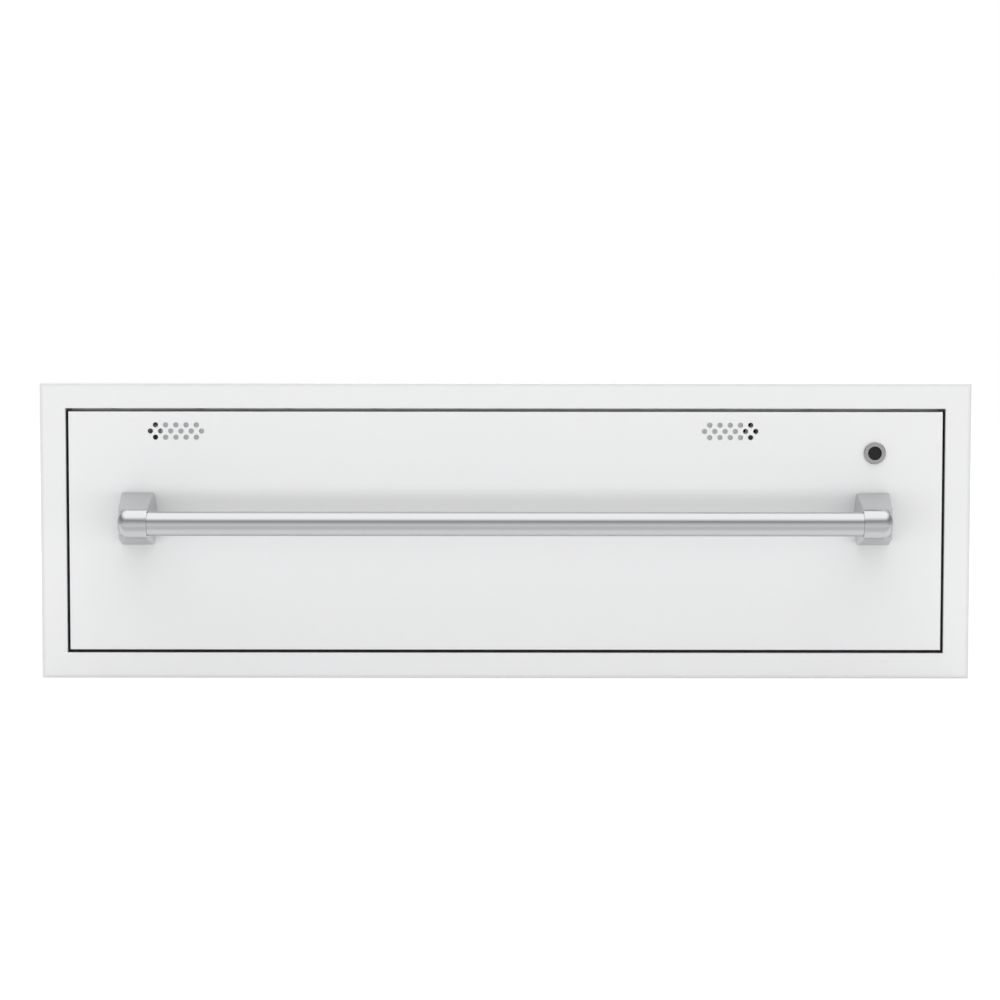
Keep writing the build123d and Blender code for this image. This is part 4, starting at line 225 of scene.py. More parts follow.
# %% Hide the room from the camera
path = node(room, "ShaderNodeLightPath").outputs
side_share = ranged(room, sum_node(room, "ABSOLUTE", heading["X"]), SIDES_FROM, SIDES_FULL, 1.0, SIDES_SHARE)
ray_share = ranged(room, path["Is Glossy Ray"], 0, 1, FILL_SHARE, 1.0)
strength = product(room, side_share, ray_share, brightest)
walls = node(room, "ShaderNodeBackground", Color=ramp.outputs["Color"], Strength=strength)
backdrop = node(room, "ShaderNodeBackground", Color=(1, 1, 1, 1), Strength=1.0)
seen = sum_node(room, "MAXIMUM", path["Is Camera Ray"], path["Is Transmission Ray"])
node(room, "ShaderNodeOutputWorld", Surface=mix_shaders(room, seen, walls.outputs[0], backdrop.outputs[0]))
print("the world is a tree of", len(room.nodes), "nodes")

# %% [markdown]
# ## Lamps
# The handle's soft shadow falls upwards, so the strongest light comes up from the white floor far in
# front: a wide lamp below the floor stands for it, and the floor lets its light through. The others are
# soft boxes to the left and right, overhead and behind. A lamp would draw its own outline in the chrome,
# so only the one behind is mirrored.

# %% Hang the soft lamps
HANDLE_AIM = Vector((0, 0, 0.11))


def softbox(name, place, size, power, mirrored=False):
    lamp = bpy.data.lights.new(name, "AREA")
    lamp.shape = "RECTANGLE"
    lamp.size, lamp.size_y = size
    lamp.energy = power
    hung = into_scene(name, lamp)
    hung.location = place
    hung.rotation_euler = (HANDLE_AIM - Vector(place)).to_track_quat("-Z", "Y").to_euler()
    hung.visible_camera = False
    hung.visible_glossy = mirrored
    print(name, power, "W")


softbox("floor_bounce", (0, -3.0, -0.45), (7.0, 0.56), 35)
softbox("front_left", (-1.9, -2.4, 0.9), (1.4, 1.4), 5.2)
softbox("front_right", (1.9, -2.4, 0.9), (1.4, 1.4), 4.2)
softbox("overhead", (0, 0.2, 2.6), (2.6, 2.0), 16)
softbox("back", (0.6, 3.0, 1.6), (2.2, 1.6), 20, mirrored=True)

# %% [markdown]
# ## The floor
# The trim reaches below the casing, so the floor lies under the trim's lower edge. Seen by the camera,
# it has the white of the background and only loses light where the drawer shades it: a plain white glow
# with a little diffuse white added. For other light it is a plain pale floor that throws light back up.
# Chrome mirrors the glow too, and there the glow is a painted reflection: it is brightest straight under
# the handle, painted darker a little way off it, as if a grey card lay there, and lighter again further
# off. This painted shade draws the fainter of the two dark lines along the tube, the one on its belly.

# %% Mix the floor's white
FLOOR_GLOW = 0.80
FLOOR_GLOW_MIRRORED = 0.86
FLOOR_WHITE = (0.26, 0.26, 0.26, 1)
FLOOR_PALE = (0.68, 0.68, 0.68, 1)
# painted reflection: for reflected rays only, the glow is painted darker a little way from under the handle
# and lighter further off
UNDER_HANDLE_Y = -0.076
MIRRORED_SHADE_SPAN = (0.05, 0.14)  # the mirrored glow darkens over this distance from under the handle
MIRRORED_PAINTED_SHADE = -0.32
MIRRORED_LIFT_SPAN = (0.28, 0.42)
MIRRORED_PAINTED_LIFT = 0.12

floor_material = bpy.data.materials.new("studio_floor")
floor_material.use_nodes = True
tree = floor_material.node_tree
tree.nodes.clear()
path = node(tree, "ShaderNodeLightPath").outputs
depth = parts_of(tree, node(tree, "ShaderNodeTexCoord").outputs["Object"])["Y"]
apart = sum_node(tree, "ABSOLUTE", sum_node(tree, "SUBTRACT", depth, UNDER_HANDLE_Y))
# the painted shade and painted lift of the glow that chrome mirrors
painted_mirrored_shade = ranged(tree, apart, *MIRRORED_SHADE_SPAN, FLOOR_GLOW_MIRRORED, FLOOR_GLOW_MIRRORED + MIRRORED_PAINTED_SHADE)
past = ranged(tree, apart, *MIRRORED_LIFT_SPAN, 0.0, MIRRORED_PAINTED_LIFT)
shine = ranged(tree, path["Is Glossy Ray"], 0, 1, FLOOR_GLOW, sum_node(tree, "ADD", painted_mirrored_shade, past))
glow = node(tree, "ShaderNodeEmission", Color=(1, 1, 1, 1), Strength=shine)
thin = node(tree, "ShaderNodeBsdfDiffuse", Color=FLOOR_WHITE)
pale = node(tree, "ShaderNodeBsdfDiffuse", Color=FLOOR_PALE)
white = node(tree, "ShaderNodeAddShader")
feed(tree, white.inputs[0], thin.outputs[0])
feed(tree, white.inputs[1], glow.outputs[0])
seen = sum_node(tree, "MAXIMUM", path["Is Camera Ray"], path["Is Glossy Ray"])
seen = sum_node(tree, "MAXIMUM", seen, path["Is Transmission Ray"])
node(tree, "ShaderNodeOutputMaterial", Surface=mix_shaders(tree, seen, pale.outputs[0], white.outputs[0]))
print("the floor's white is a tree of", len(tree.nodes), "nodes")

# %% Lay the floor
FLOOR_HALF = 6.0
FLOOR_GAP = 0.2 * MM

floor_z = cad_box[0][2] - FLOOR_GAP
floor_mesh = bpy.data.meshes.new("floor")
corners = [(x * FLOOR_HALF, y * FLOOR_HALF, floor_z) for x, y in ((-1, -1), (1, -1), (1, 1), (-1, 1))]
floor_mesh.from_pydata(corners, [], [(0, 1, 2, 3)])
floor_mesh.materials.append(floor_material)
floor = into_scene("floor", floor_mesh)
floor.visible_shadow = False
print("floor at", round(floor_z / MM, 2), "mm")

# %% [markdown]
# ## Surface patterns
# A finish is never one flat colour. Each of these node groups makes one real effect, such as the orange
# peel of powder coat or the crystals of galvanised sheet. All have the same plugs: a place, the size of
# the effect in metres, and how it is stretched along x, y and z. All put out a mask, for colour and
# roughness, and a height, for the bump. So one finish can be swapped for another without rewiring the
# material.

# %% Start and end a surface pattern
PATTERN_PLUGS = {
    "Place": ("NodeSocketVector", (0, 0, 0)),
    "Size": ("NodeSocketFloat", 1 * MM),
    "Stretch": ("NodeSocketVector", (1, 1, 1)),
}


def start_pattern(name):
    group = bpy.data.node_groups.new(name, "ShaderNodeTree")
    for label, (kind, value) in PATTERN_PLUGS.items():
        group.interface.new_socket(label, in_out="INPUT", socket_type=kind).default_value = value
    for label in ("Mask", "Height"):
        group.interface.new_socket(label, in_out="OUTPUT", socket_type="NodeSocketFloat")
    plugs = group.nodes.new("NodeGroupInput").outputs
    place = vector_sum(group, "MULTIPLY", plugs["Place"], plugs["Stretch"])
    scale = sum_node(group, "DIVIDE", 1.0, plugs["Size"])
    return group, place, scale


def end_pattern(group, mask, height):
    done = group.nodes.new("NodeGroupOutput")
    feed(group, done.inputs["Mask"], mask)
    feed(group, done.inputs["Height"], height)
    print("pattern", group.name)
    return group


def noise(group, place, scale, detail=2.0, roughness=0.5):
    made = node(group, "ShaderNodeTexNoise", Vector=place, Scale=scale, Detail=detail, Roughness=roughness)
    return made.outputs["Fac"]


# %% [markdown]
# Powder melts into a skin of small ripples, and its tone drifts slowly over a whole panel. Polished
# plating is the same idea on a finer scale: fine polishing lines for the bump, and a broad haze for the
# gloss.

# %% Orange peel of powder coat
group, place, scale = start_pattern("powder_peel")
ripple = noise(group, place, scale, detail=2.0, roughness=0.4)
drift = noise(group, place, product(group, scale, 0.006), detail=3.0)
POWDER_PEEL = end_pattern(group, drift, ripple)

# %% Haze and fine lines of polished plating
group, place, scale = start_pattern("polish_haze")
lines = noise(group, place, scale, detail=3.0, roughness=0.6)
haze = noise(group, place, product(group, scale, 0.03), detail=4.0, roughness=0.6)
POLISH_HAZE = end_pattern(group, haze, lines)

# %% [markdown]
# Rolling leaves lines of two widths on bright sheet; the stretch of the finish draws them out. Zinc
# freezes into crystals of different tones, which are the cells of a Voronoi pattern with bent walls,
# feathered inside.

# %% Rolling lines of bright sheet
group, place, scale = start_pattern("rolled_lines")
fine = noise(group, place, scale, detail=4.0, roughness=0.7)
broad = noise(group, place, product(group, scale, 0.12))
streaks = sum_node(group, "MULTIPLY_ADD", broad, 0.5, product(group, fine, 0.5))
ROLLED_LINES = end_pattern(group, streaks, fine)

# %% Crystals of a zinc coat
CRYSTAL_BEND = 2 * MM
CRYSTAL_SHARE = 0.45  # the rest of the tone is feathering

group, place, scale = start_pattern("zinc_crystals")
wander = node(group, "ShaderNodeTexNoise", Vector=place, Scale=product(group, scale, 1.5), Detail=2.0)
bent = vector_sum(group, "MULTIPLY_ADD", wander.outputs["Color"], [CRYSTAL_BEND] * 3, place)
cells = node(group, "ShaderNodeTexVoronoi", Vector=bent, Scale=scale)
tone = node(group, "ShaderNodeSeparateColor", Color=cells.outputs["Color"]).outputs["Red"]
feather = noise(group, place, product(group, scale, 9.0), detail=3.0)
tone = sum_node(group, "MULTIPLY_ADD", feather, 1 - CRYSTAL_SHARE, product(group, tone, CRYSTAL_SHARE))
ZINC_CRYSTALS = end_pattern(group, tone, feather)

# %% [markdown]
# Small plated parts are tumbled and come out mottled. A moulding has the pits of its mould, and streaks
# where the plastic flowed. Mineral wool is strands that lie in three main directions, with clumps and
# thin places.

# %% Mottle of plated small parts
group, place, scale = start_pattern("plated_mottle")
mottle = noise(group, place, scale, detail=5.0, roughness=0.65)
grit = noise(group, place, product(group, scale, 6.0))
PLATED_MOTTLE = end_pattern(group, mottle, grit)

# %% Skin of a moulding
group, place, scale = start_pattern("moulded_skin")
pits = node(
    group, "ShaderNodeTexVoronoi", {"feature": "SMOOTH_F1"}, Vector=place, Scale=scale, Smoothness=0.6
).outputs["Distance"]
flow = noise(group, place, product(group, scale, 0.04), detail=3.0)
MOULDED_SKIN = end_pattern(group, flow, pits)

# %% Fibres of mineral wool
STRAND_LEANS = ((1, 0.08, 0.5), (0.08, 1, 0.5), (0.5, 0.5, 0.07))

group, place, scale = start_pattern("wool_fibres")
fibres = 0.0
for lean in STRAND_LEANS:
    strand = noise(group, vector_sum(group, "MULTIPLY", place, lean), scale, detail=4.0, roughness=0.7)
    fibres = sum_node(group, "MAXIMUM", fibres, strand)
clumps = noise(group, place, product(group, scale, 0.06), detail=4.0, roughness=0.6)
mask = sum_node(group, "MULTIPLY_ADD", clumps, 0.5, product(group, fibres, 0.5))
WOOL_FIBRES = end_pattern(group, mask, fibres)

# %% [markdown]
# ## Traces of use
# Handling leaves soft smudges and hairline scratches, which change the gloss more than the colour. Dust
# settles on faces that look up. Both are shared by most finishes, each with its own strength, so both
# are groups too. A noise is turned into separate patches by a steep sum that is cut off below nought and
# above one.

# %% Start and end a trace
def start_trace(name):
    group = bpy.data.node_groups.new(name, "ShaderNodeTree")
    group.interface.new_socket("Place", in_out="INPUT", socket_type="NodeSocketVector")
    group.interface.new_socket("Amount", in_out="INPUT", socket_type="NodeSocketFloat")
    group.interface.new_socket("Trace", in_out="OUTPUT", socket_type="NodeSocketFloat")
    return group, group.nodes.new("NodeGroupInput").outputs


def end_trace(group, value):
    done = group.nodes.new("NodeGroupOutput")
    feed(group, done.inputs["Trace"], value)
    print("trace", group.name)
    return group


def patches_of(group, value, steepness, cut):
    return sum_node(group, "MULTIPLY_ADD", value, steepness, -cut, clamp=True)


# %% Smudges and hairlines
group, plugs = start_trace("touch_marks")
smudges = patches_of(group, noise(group, plugs["Place"], 14.0, detail=5.0, roughness=0.6), 3.0, 1.4)
drawn_out = vector_sum(group, "MULTIPLY", plugs["Place"], (1.0, 1.0, 30.0))
hairlines = patches_of(group, noise(group, drawn_out, 60.0, detail=3.0, roughness=0.8), 8.0, 5.4)
both = sum_node(group, "MULTIPLY_ADD", smudges, 0.6, product(group, hairlines, 0.4))
TOUCH_MARKS = end_trace(group, product(group, both, plugs["Amount"]))

# %% Dust on what faces up
group, plugs = start_trace("settled_dust")
facing = parts_of(group, node(group, "ShaderNodeNewGeometry").outputs["Normal"])["Z"]
upward = patches_of(group, facing, 2.5, 1.5)
drifts = patches_of(group, noise(group, plugs["Place"], 9.0, detail=6.0, roughness=0.65), 1.6, 0.3)
SETTLED_DUST = end_trace(group, product(group, upward, drifts, plugs["Amount"]))

# %% [markdown]
# ## A finish
# Every finish is put together the same way. The pattern's mask mixes two close tones of the colour and
# moves the roughness between two values, the traces of use raise the roughness, dust lightens what faces
# up, and the pattern's height goes to a bump. What is the same all over, such as metalness or a clear
# coat, is set on the shader itself.

# %% Put a finish together
FINISHES = {}
DUST_COLOUR = (0.42, 0.40, 0.37, 1)


def finish(slot, tones, rough, pattern, size, bump, stretch=(1, 1, 1), marks=0.0, dust=0.0, **shader):
    """A material for one slot. tones and rough are pairs; bump is the height of the pattern in metres."""
    made = bpy.data.materials.new(slot)
    made.use_nodes = True
    tree = made.node_tree
    surface = tree.nodes["Principled BSDF"]
    place = node(tree, "ShaderNodeTexCoord").outputs["Object"]
    relief = node(tree, "ShaderNodeGroup", {"node_tree": pattern}, Place=place, Size=size, Stretch=stretch)
    colour = mix_colours(tree, relief.outputs["Mask"], (*tones[0], 1), (*tones[1], 1))
    if dust:
        settled = node(tree, "ShaderNodeGroup", {"node_tree": SETTLED_DUST}, Place=place, Amount=dust)
        colour = mix_colours(tree, settled.outputs["Trace"], colour, DUST_COLOUR)
    feed(tree, surface.inputs["Base Color"], colour)
    gloss = ranged(tree, relief.outputs["Mask"], 0, 1, *rough)
    if marks:
        touched = node(tree, "ShaderNodeGroup", {"node_tree": TOUCH_MARKS}, Place=place, Amount=marks)
        gloss = sum_node(tree, "ADD", gloss, touched.outputs["Trace"], clamp=True)
    feed(tree, surface.inputs["Roughness"], gloss)
    raised = node(tree, "ShaderNodeBump", Height=relief.outputs["Height"], Strength=1.0, Distance=bump)
    feed(tree, surface.inputs["Normal"], raised.outputs["Normal"])
    for name, value in shader.items():
        surface.inputs[name.replace("_", " ")].default_value = value
    FINISHES[slot] = made
    print("finish", slot)
    return made


# %% [markdown]
# ## The white front
# The trim and the drawer front are steel, sprayed with white powder and baked. The powder flows into a
# skin with a faint orange peel, a satin gloss and an even white. The peel is a millimetre or two across
# and only a few microns deep, so it is a bump and not geometry.

# %% White powder coat
finish(
    "white_powder_coat", ((0.845, 0.848, 0.855), (0.875, 0.878, 0.884)), (0.30, 0.36), POWDER_PEEL,
    size=1.6 * MM, bump=0.006 * MM, marks=0.05, dust=0.03, Coat_Weight=0.15, Coat_Roughness=0.12,
)

# %% [markdown]
# The narrow gap round the drawer front is deep and in shade and reads as a black line, so the channel
# that is folded back round the opening gets painted shade: a near-black colour in place of the white.
# The trim's outer fold turns away from the light, so the last few millimetres of the coat get a band of
# painted shade, a little greyer than the white. A second version of the coat masks both out by their
# place: the channel is deeper than the lip and within the outline of the opening, and the fold is the
# last few millimetres before the outer edge.

# %% Lay another colour over part of a finish
def recolour(material, share, colour):
    tree = material.node_tree
    socket = tree.nodes["Principled BSDF"].inputs["Base Color"]
    feed(tree, socket, mix_colours(tree, share, socket.links[0].from_socket, colour))


# %% The coat of the trim, with painted shade along its fold and in its channel
OPENING_HALF_X, OPENING_HALF_Z = 362.5 * MM, 104.5 * MM
FOLD_SPAN = (-3.2 * MM, -1.2 * MM)  # from the trim's outer edge
FOLD_DEPTH_Y = -14.8 * MM
# painted shade: a greyer band along the trim's outer fold
FOLD_PAINTED_SHADE = (0.755, 0.76, 0.765, 1)
CHANNEL_SHADE_SPAN_Y = (-13.6 * MM, -11.8 * MM)
# painted shade: near black in the channel round the opening, where the deep gap lies in shade
CHANNEL_PAINTED_SHADE = (0.050, 0.050, 0.052, 1)

trim_low, trim_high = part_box("face_frame")
trim_middle_z = (trim_low.z + trim_high.z) / 2
trim_coat = FINISHES["white_powder_coat"].copy()
trim_coat.name = "white_powder_coat_trim"
tree = trim_coat.node_tree
axes = parts_of(tree, node(tree, "ShaderNodeTexCoord").outputs["Object"])
across = sum_node(tree, "ABSOLUTE", axes["X"])
upright = sum_node(tree, "ABSOLUTE", sum_node(tree, "SUBTRACT", axes["Z"], trim_middle_z))
past_x = sum_node(tree, "SUBTRACT", across, trim_high.x)
past_z = sum_node(tree, "SUBTRACT", upright, trim_high.z - trim_middle_z)
near_edge = ranged(tree, sum_node(tree, "MAXIMUM", past_x, past_z), *FOLD_SPAN)
# lay the painted shade along the outer fold
recolour(trim_coat, product(tree, near_edge, sum_node(tree, "LESS_THAN", axes["Y"], FOLD_DEPTH_Y)), FOLD_PAINTED_SHADE)
# lay the near-black painted shade in the channel
within_x = sum_node(tree, "LESS_THAN", across, OPENING_HALF_X)
within_z = sum_node(tree, "LESS_THAN", upright, OPENING_HALF_Z)
recolour(trim_coat, product(tree, ranged(tree, axes["Y"], *CHANNEL_SHADE_SPAN_Y), within_x, within_z), CHANNEL_PAINTED_SHADE)
print("trim coat: outer half width", round(trim_high.x / MM, 2), "mm, opening", OPENING_HALF_X / MM, "mm")

# %% [markdown]
# ## Bright metals
# The handle is plated with decorative chrome, smooth enough to show the room. The rack is plated wire, a
# little duller. Both are metals, so the tone is the colour of the reflection.

# %% Chrome of the handle and of the rack
finish(
    "handle_chrome", ((0.50, 0.507, 0.515), (0.54, 0.547, 0.555)), (0.06, 0.13), POLISH_HAZE,
    size=0.5 * MM, bump=0.0006 * MM, stretch=(0.02, 1, 1), marks=0.08, Metallic=1.0,
)
finish(
    "rack_chrome", ((0.60, 0.61, 0.62), (0.70, 0.71, 0.72)), (0.10, 0.20), POLISH_HAZE,
    size=0.4 * MM, bump=0.001 * MM, marks=0.10, dust=0.05, Metallic=1.0,
)

# %% [markdown]
# Faces of the handle that look down get painted shade: the colour of their plating is mixed towards a
# dark grey.

# %% Painted shade on the underside of the handle
UNDER_SPAN_Z = (-0.90, -0.97)  # how far down a face looks, where -1 is straight down
# painted shade: the dark grey laid on faces of the handle that look down
UNDERSIDE_PAINTED_SHADE = (0.13, 0.132, 0.134, 1)

tree = FINISHES["handle_chrome"].node_tree
facing = parts_of(tree, node(tree, "ShaderNodeNewGeometry").outputs["Normal"])["Z"]
recolour(FINISHES["handle_chrome"], ranged(tree, facing, *UNDER_SPAN_Z), UNDERSIDE_PAINTED_SHADE)
print("darker where a face looks down by more than", UNDER_SPAN_Z[0])

# %% [markdown]
# The bezel round the sight lens is turned from brass and nickel plated, a little darker than the chrome.

# %% Nickel of the bezel
bezel_nickel = finish(
    "bezel_nickel", ((0.34, 0.34, 0.335), (0.44, 0.44, 0.435)), (0.16, 0.28), PLATED_MOTTLE,
    size=3 * MM, bump=0.004 * MM, marks=0.08, Metallic=1.0,
)

# %% [markdown]
# ## Sheet metals
# The casing is galvanised sheet, whose zinc freezes into crystals of slightly different greys. The
# heated inside is stainless sheet with fine rolling lines along its length. Rails and small pressings
# are plain bright steel, and the slides are zinc plated.

# %% Sheets and pressings
finish(
    "galvanised_sheet", ((0.47, 0.49, 0.505), (0.60, 0.615, 0.625)), (0.36, 0.48), ZINC_CRYSTALS,
    size=9 * MM, bump=0.006 * MM, marks=0.10, dust=0.12, Metallic=1.0,
)
finish(
    "stainless_sheet", ((0.52, 0.52, 0.51), (0.64, 0.635, 0.62)), (0.22, 0.34), ROLLED_LINES,
    size=0.5 * MM, bump=0.002 * MM, stretch=(0.012, 0.04, 1), marks=0.10, dust=0.04, Metallic=1.0,
)
finish(
    "rail_steel", ((0.42, 0.43, 0.44), (0.54, 0.55, 0.555)), (0.30, 0.42), ROLLED_LINES,
    size=0.7 * MM, bump=0.006 * MM, stretch=(1, 0.03, 1), marks=0.10, dust=0.05, Metallic=1.0,
)
finish(
    "slide_zinc", ((0.50, 0.53, 0.57), (0.62, 0.64, 0.67)), (0.24, 0.36), PLATED_MOTTLE,
    size=6 * MM, bump=0.01 * MM, stretch=(1, 0.2, 1), marks=0.10, dust=0.05, Metallic=1.0,
)

# %% [markdown]
# ## Small metal parts
# Screws and rivets are zinc plated, the ball cages are bright pressed steel, and the thermostat's bulb
# and its thin tube are copper that has dulled with heat.

# %% Fasteners, cages and copper
finish(
    "fastener_zinc", ((0.50, 0.53, 0.56), (0.66, 0.68, 0.70)), (0.22, 0.36), PLATED_MOTTLE,
    size=2.5 * MM, bump=0.008 * MM, marks=0.08, dust=0.05, Metallic=1.0,
)
finish(
    "ball_cage_steel", ((0.46, 0.47, 0.48), (0.60, 0.61, 0.62)), (0.20, 0.32), PLATED_MOTTLE,
    size=3 * MM, bump=0.006 * MM, marks=0.06, Metallic=1.0,
)
finish(
    "bulb_copper", ((0.58, 0.27, 0.16), (0.74, 0.42, 0.28)), (0.26, 0.42), PLATED_MOTTLE,
    size=8 * MM, bump=0.01 * MM, marks=0.10, Metallic=1.0,
)

# %% [markdown]
# ## The heating element
# The sheath is a nickel alloy that turns straw, brown and blue as it is first heated, in patches along
# its length. Its ends sit in glazed white ceramic.

# %% Heat-tinted sheath and ceramic
finish(
    "element_sheath", ((0.16, 0.13, 0.12), (0.34, 0.27, 0.22)), (0.34, 0.52), PLATED_MOTTLE,
    size=22 * MM, bump=0.012 * MM, marks=0.06, Metallic=1.0,
)
finish(
    "element_ceramic", ((0.78, 0.76, 0.70), (0.86, 0.84, 0.79)), (0.22, 0.34), MOULDED_SKIN,
    size=1.2 * MM, bump=0.01 * MM, Coat_Weight=0.3, Coat_Roughness=0.08,
)

# %% [markdown]
# ## Plastics, rubber and wool
# Mouldings differ in gloss more than in anything else: the knob is a satin black, the gland and the
# terminal block are nylon, the gasket and bumpers are soft grey silicone, and the wires have a slippery
# silicone skin. Mineral wool is matt, yellow-grey and full of fibres.

# %% Mouldings, seals and wool
finish(
    "thermostat_case", ((0.10, 0.095, 0.09), (0.15, 0.14, 0.13)), (0.34, 0.46), MOULDED_SKIN,
    size=0.9 * MM, bump=0.015 * MM, dust=0.05,
)
finish(
    "terminal_plastic", ((0.62, 0.60, 0.54), (0.70, 0.68, 0.62)), (0.36, 0.46), MOULDED_SKIN,
    size=0.9 * MM, bump=0.015 * MM, dust=0.05,
)
finish(
    "gland_plastic", ((0.030, 0.030, 0.032), (0.050, 0.050, 0.053)), (0.36, 0.48), MOULDED_SKIN,
    size=0.7 * MM, bump=0.02 * MM, dust=0.04,
)
finish(
    "knob_plastic", ((0.022, 0.022, 0.024), (0.035, 0.035, 0.038)), (0.28, 0.38), MOULDED_SKIN,
    size=0.6 * MM, bump=0.012 * MM, marks=0.08, dust=0.03,
)
finish(
    "gasket_rubber", ((0.17, 0.17, 0.175), (0.23, 0.23, 0.235)), (0.52, 0.66), MOULDED_SKIN,
    size=0.8 * MM, bump=0.03 * MM, marks=0.05, dust=0.04,
)
finish(
    "wire_silicone", ((0.50, 0.12, 0.08), (0.60, 0.17, 0.11)), (0.38, 0.50), MOULDED_SKIN,
    size=0.8 * MM, bump=0.01 * MM,
)
finish(
    "mineral_wool", ((0.42, 0.38, 0.28), (0.66, 0.61, 0.48)), (0.90, 1.00), WOOL_FIBRES,
    size=3.0 * MM, bump=0.8 * MM, Sheen_Weight=0.3,
)

# %% [markdown]
# ## The two lenses
# The sight lens in the drawer front is smoked, so it looks black until the pilot lamp behind it is lit.
# The pilot lens is amber and lets light through. Both are glass-like, with only their colour and
# roughness varied.

# %% Smoked and amber lenses
finish(
    "sight_lens_smoked", ((0.010, 0.010, 0.011), (0.018, 0.018, 0.020)), (0.06, 0.12), MOULDED_SKIN,
    size=1.5 * MM, bump=0.003 * MM, Transmission_Weight=0.25, IOR=1.49, Specular_IOR_Level=0.2,
)
finish(
    "pilot_lens_amber", ((0.85, 0.34, 0.05), (0.95, 0.46, 0.09)), (0.10, 0.20), MOULDED_SKIN,
    size=1.0 * MM, bump=0.01 * MM, Transmission_Weight=0.6, IOR=1.49,
)

# %% [markdown]
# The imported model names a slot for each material. Every node gets the finish of its slot, and then three
# nodes get a version of their own.

# %% Give every node its finish
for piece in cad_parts.values():
    for material_slot in piece.material_slots:
        material_slot.material = FINISHES[material_slot.material.name.split(".")[0]]
OWN_FINISHES = {"face_frame": trim_coat, "sight_bezel": bezel_nickel, "sight_nut": bezel_nickel}
for name, own_finish in OWN_FINISHES.items():
    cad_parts[name].material_slots[0].material = own_finish
print("finishes:", len(FINISHES))

# %% [markdown]
# ## Repeated details
# Some small features repeat by a rule: the rolled edges of the vents, the spot welds of the casing, the
# ribs pressed into its sheets and the ticks of the dial. Each rule is a Geometry Nodes tree with named
# inputs, which makes the feature once and sets copies of it out in rows or in a ring. The result is
# turned into a plain mesh.

# %% Start and end a geometry tree
def start_tree(name, inputs):
    """A geometry tree with named inputs; inputs maps each name to a kind of socket."""
    tree = bpy.data.node_groups.new(name, "GeometryNodeTree")
    tree.is_modifier = True
    for label, kind in inputs.items():
        tree.interface.new_socket(label, in_out="INPUT", socket_type="NodeSocket" + kind)
    tree.interface.new_socket("Geometry", in_out="OUTPUT", socket_type="NodeSocketGeometry")
    return tree, tree.nodes.new("NodeGroupInput").outputs


def end_tree(tree, feature, points, material, **turn):
    """Every tree ends in copies of its feature on points, made real, with one material."""
    copies = node(tree, "GeometryNodeInstanceOnPoints", Points=points, Instance=feature, **turn)
    real = node(tree, "GeometryNodeRealizeInstances", Geometry=copies.outputs[0])
    painted = node(tree, "GeometryNodeSetMaterial", Geometry=real.outputs[0], Material=material)
    feed(tree, tree.nodes.new("NodeGroupOutput").inputs["Geometry"], painted.outputs[0])
    print("tree", tree.name, "with", len(tree.nodes), "nodes")


def point_row(tree, count, start, step):
    line = node(tree, "GeometryNodeMeshLine", Count=count, Start_Location=start, Offset=step)
    return line.outputs["Mesh"]


# %% Turn a tree's result into a plain piece
def add_piece(name, mesh, body):
    """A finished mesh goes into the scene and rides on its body."""
    piece = into_scene(name, mesh)
    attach(piece, body)
    print(name, "faces", len(mesh.polygons))
    return piece


def solid_from(name, tree, body, slot, **values):
    """The plain mesh that a tree gives with these values, riding on a body."""
    carrier = into_scene(name + "_rule", bpy.data.meshes.new(name + "_rule"))
    rule = carrier.modifiers.new("rule", "NODES")
    rule.node_group = tree
    sockets = {item.name: item.identifier for item in tree.interface.items_tree if item.in_out == "INPUT"}
    for label, value in values.items():
        rule[sockets[label.replace("_", " ")]] = value
    bpy.context.view_layer.update()
    seen_by_blender = carrier.evaluated_get(bpy.context.evaluated_depsgraph_get())
    mesh = bpy.data.meshes.new_from_object(seen_by_blender)
    bpy.data.objects.remove(carrier)
    mesh.name = name
    mesh.shade_smooth()
    add_piece(name, mesh, body)


# %% [markdown]
# ### Rolled edges of the vents
# Powder piles up a little round a punched hole and leaves a soft rim. Three short rows of holes make one
# group of vents, the middle row with one hole more. The tree draws one rim as a circle swept along a
# circle, and sets it out on three lines of points.

# %% The rule for a group of rims
RIM_SIDES, RIM_ROUND_SIDES = 24, 6

tree, plugs = start_tree("vent_rims", {
    "Start": "Vector", "Pitch": "Float", "Row": "Float", "Radius": "Float", "Thickness": "Float",
    "Long row": "Int",
})
hole = node(tree, "GeometryNodeCurvePrimitiveCircle", Resolution=RIM_SIDES, Radius=plugs["Radius"])
bead = node(tree, "GeometryNodeCurvePrimitiveCircle", Resolution=RIM_ROUND_SIDES, Radius=plugs["Thickness"])
rim = node(tree, "GeometryNodeCurveToMesh", Curve=hole.outputs["Curve"], Profile_Curve=bead.outputs["Curve"])
stand = node(tree, "GeometryNodeTransform", Geometry=rim.outputs[0], Rotation=(pi / 2, 0, 0))
rows = node(tree, "GeometryNodeJoinGeometry")
for row in (-1, 0, 1):
    fewer = abs(row)
    count = sum_node(tree, "SUBTRACT", plugs["Long row"], fewer)
    shift = product(tree, plugs["Pitch"], fewer / 2)
    lift = product(tree, plugs["Row"], row)
    first = vector_sum(tree, "ADD", plugs["Start"], vector_of(tree, X=shift, Z=lift))
    feed(tree, rows.inputs[0], point_row(tree, count, first, vector_of(tree, X=plugs["Pitch"])))
end_tree(tree, stand.outputs[0], rows.outputs[0], FINISHES["white_powder_coat"])

# %% A rim round every vent
VENT_PITCH, VENT_ROW, VENT_RADIUS = 8.38 * MM, 5.05 * MM, 2.2 * MM
VENT_LONG_ROW_COUNT = 6
VENT_FROM_DUCT = 4.8 * MM  # from the end of the ducts to the middle of the nearest vent
RIM_THICK = 0.22 * MM

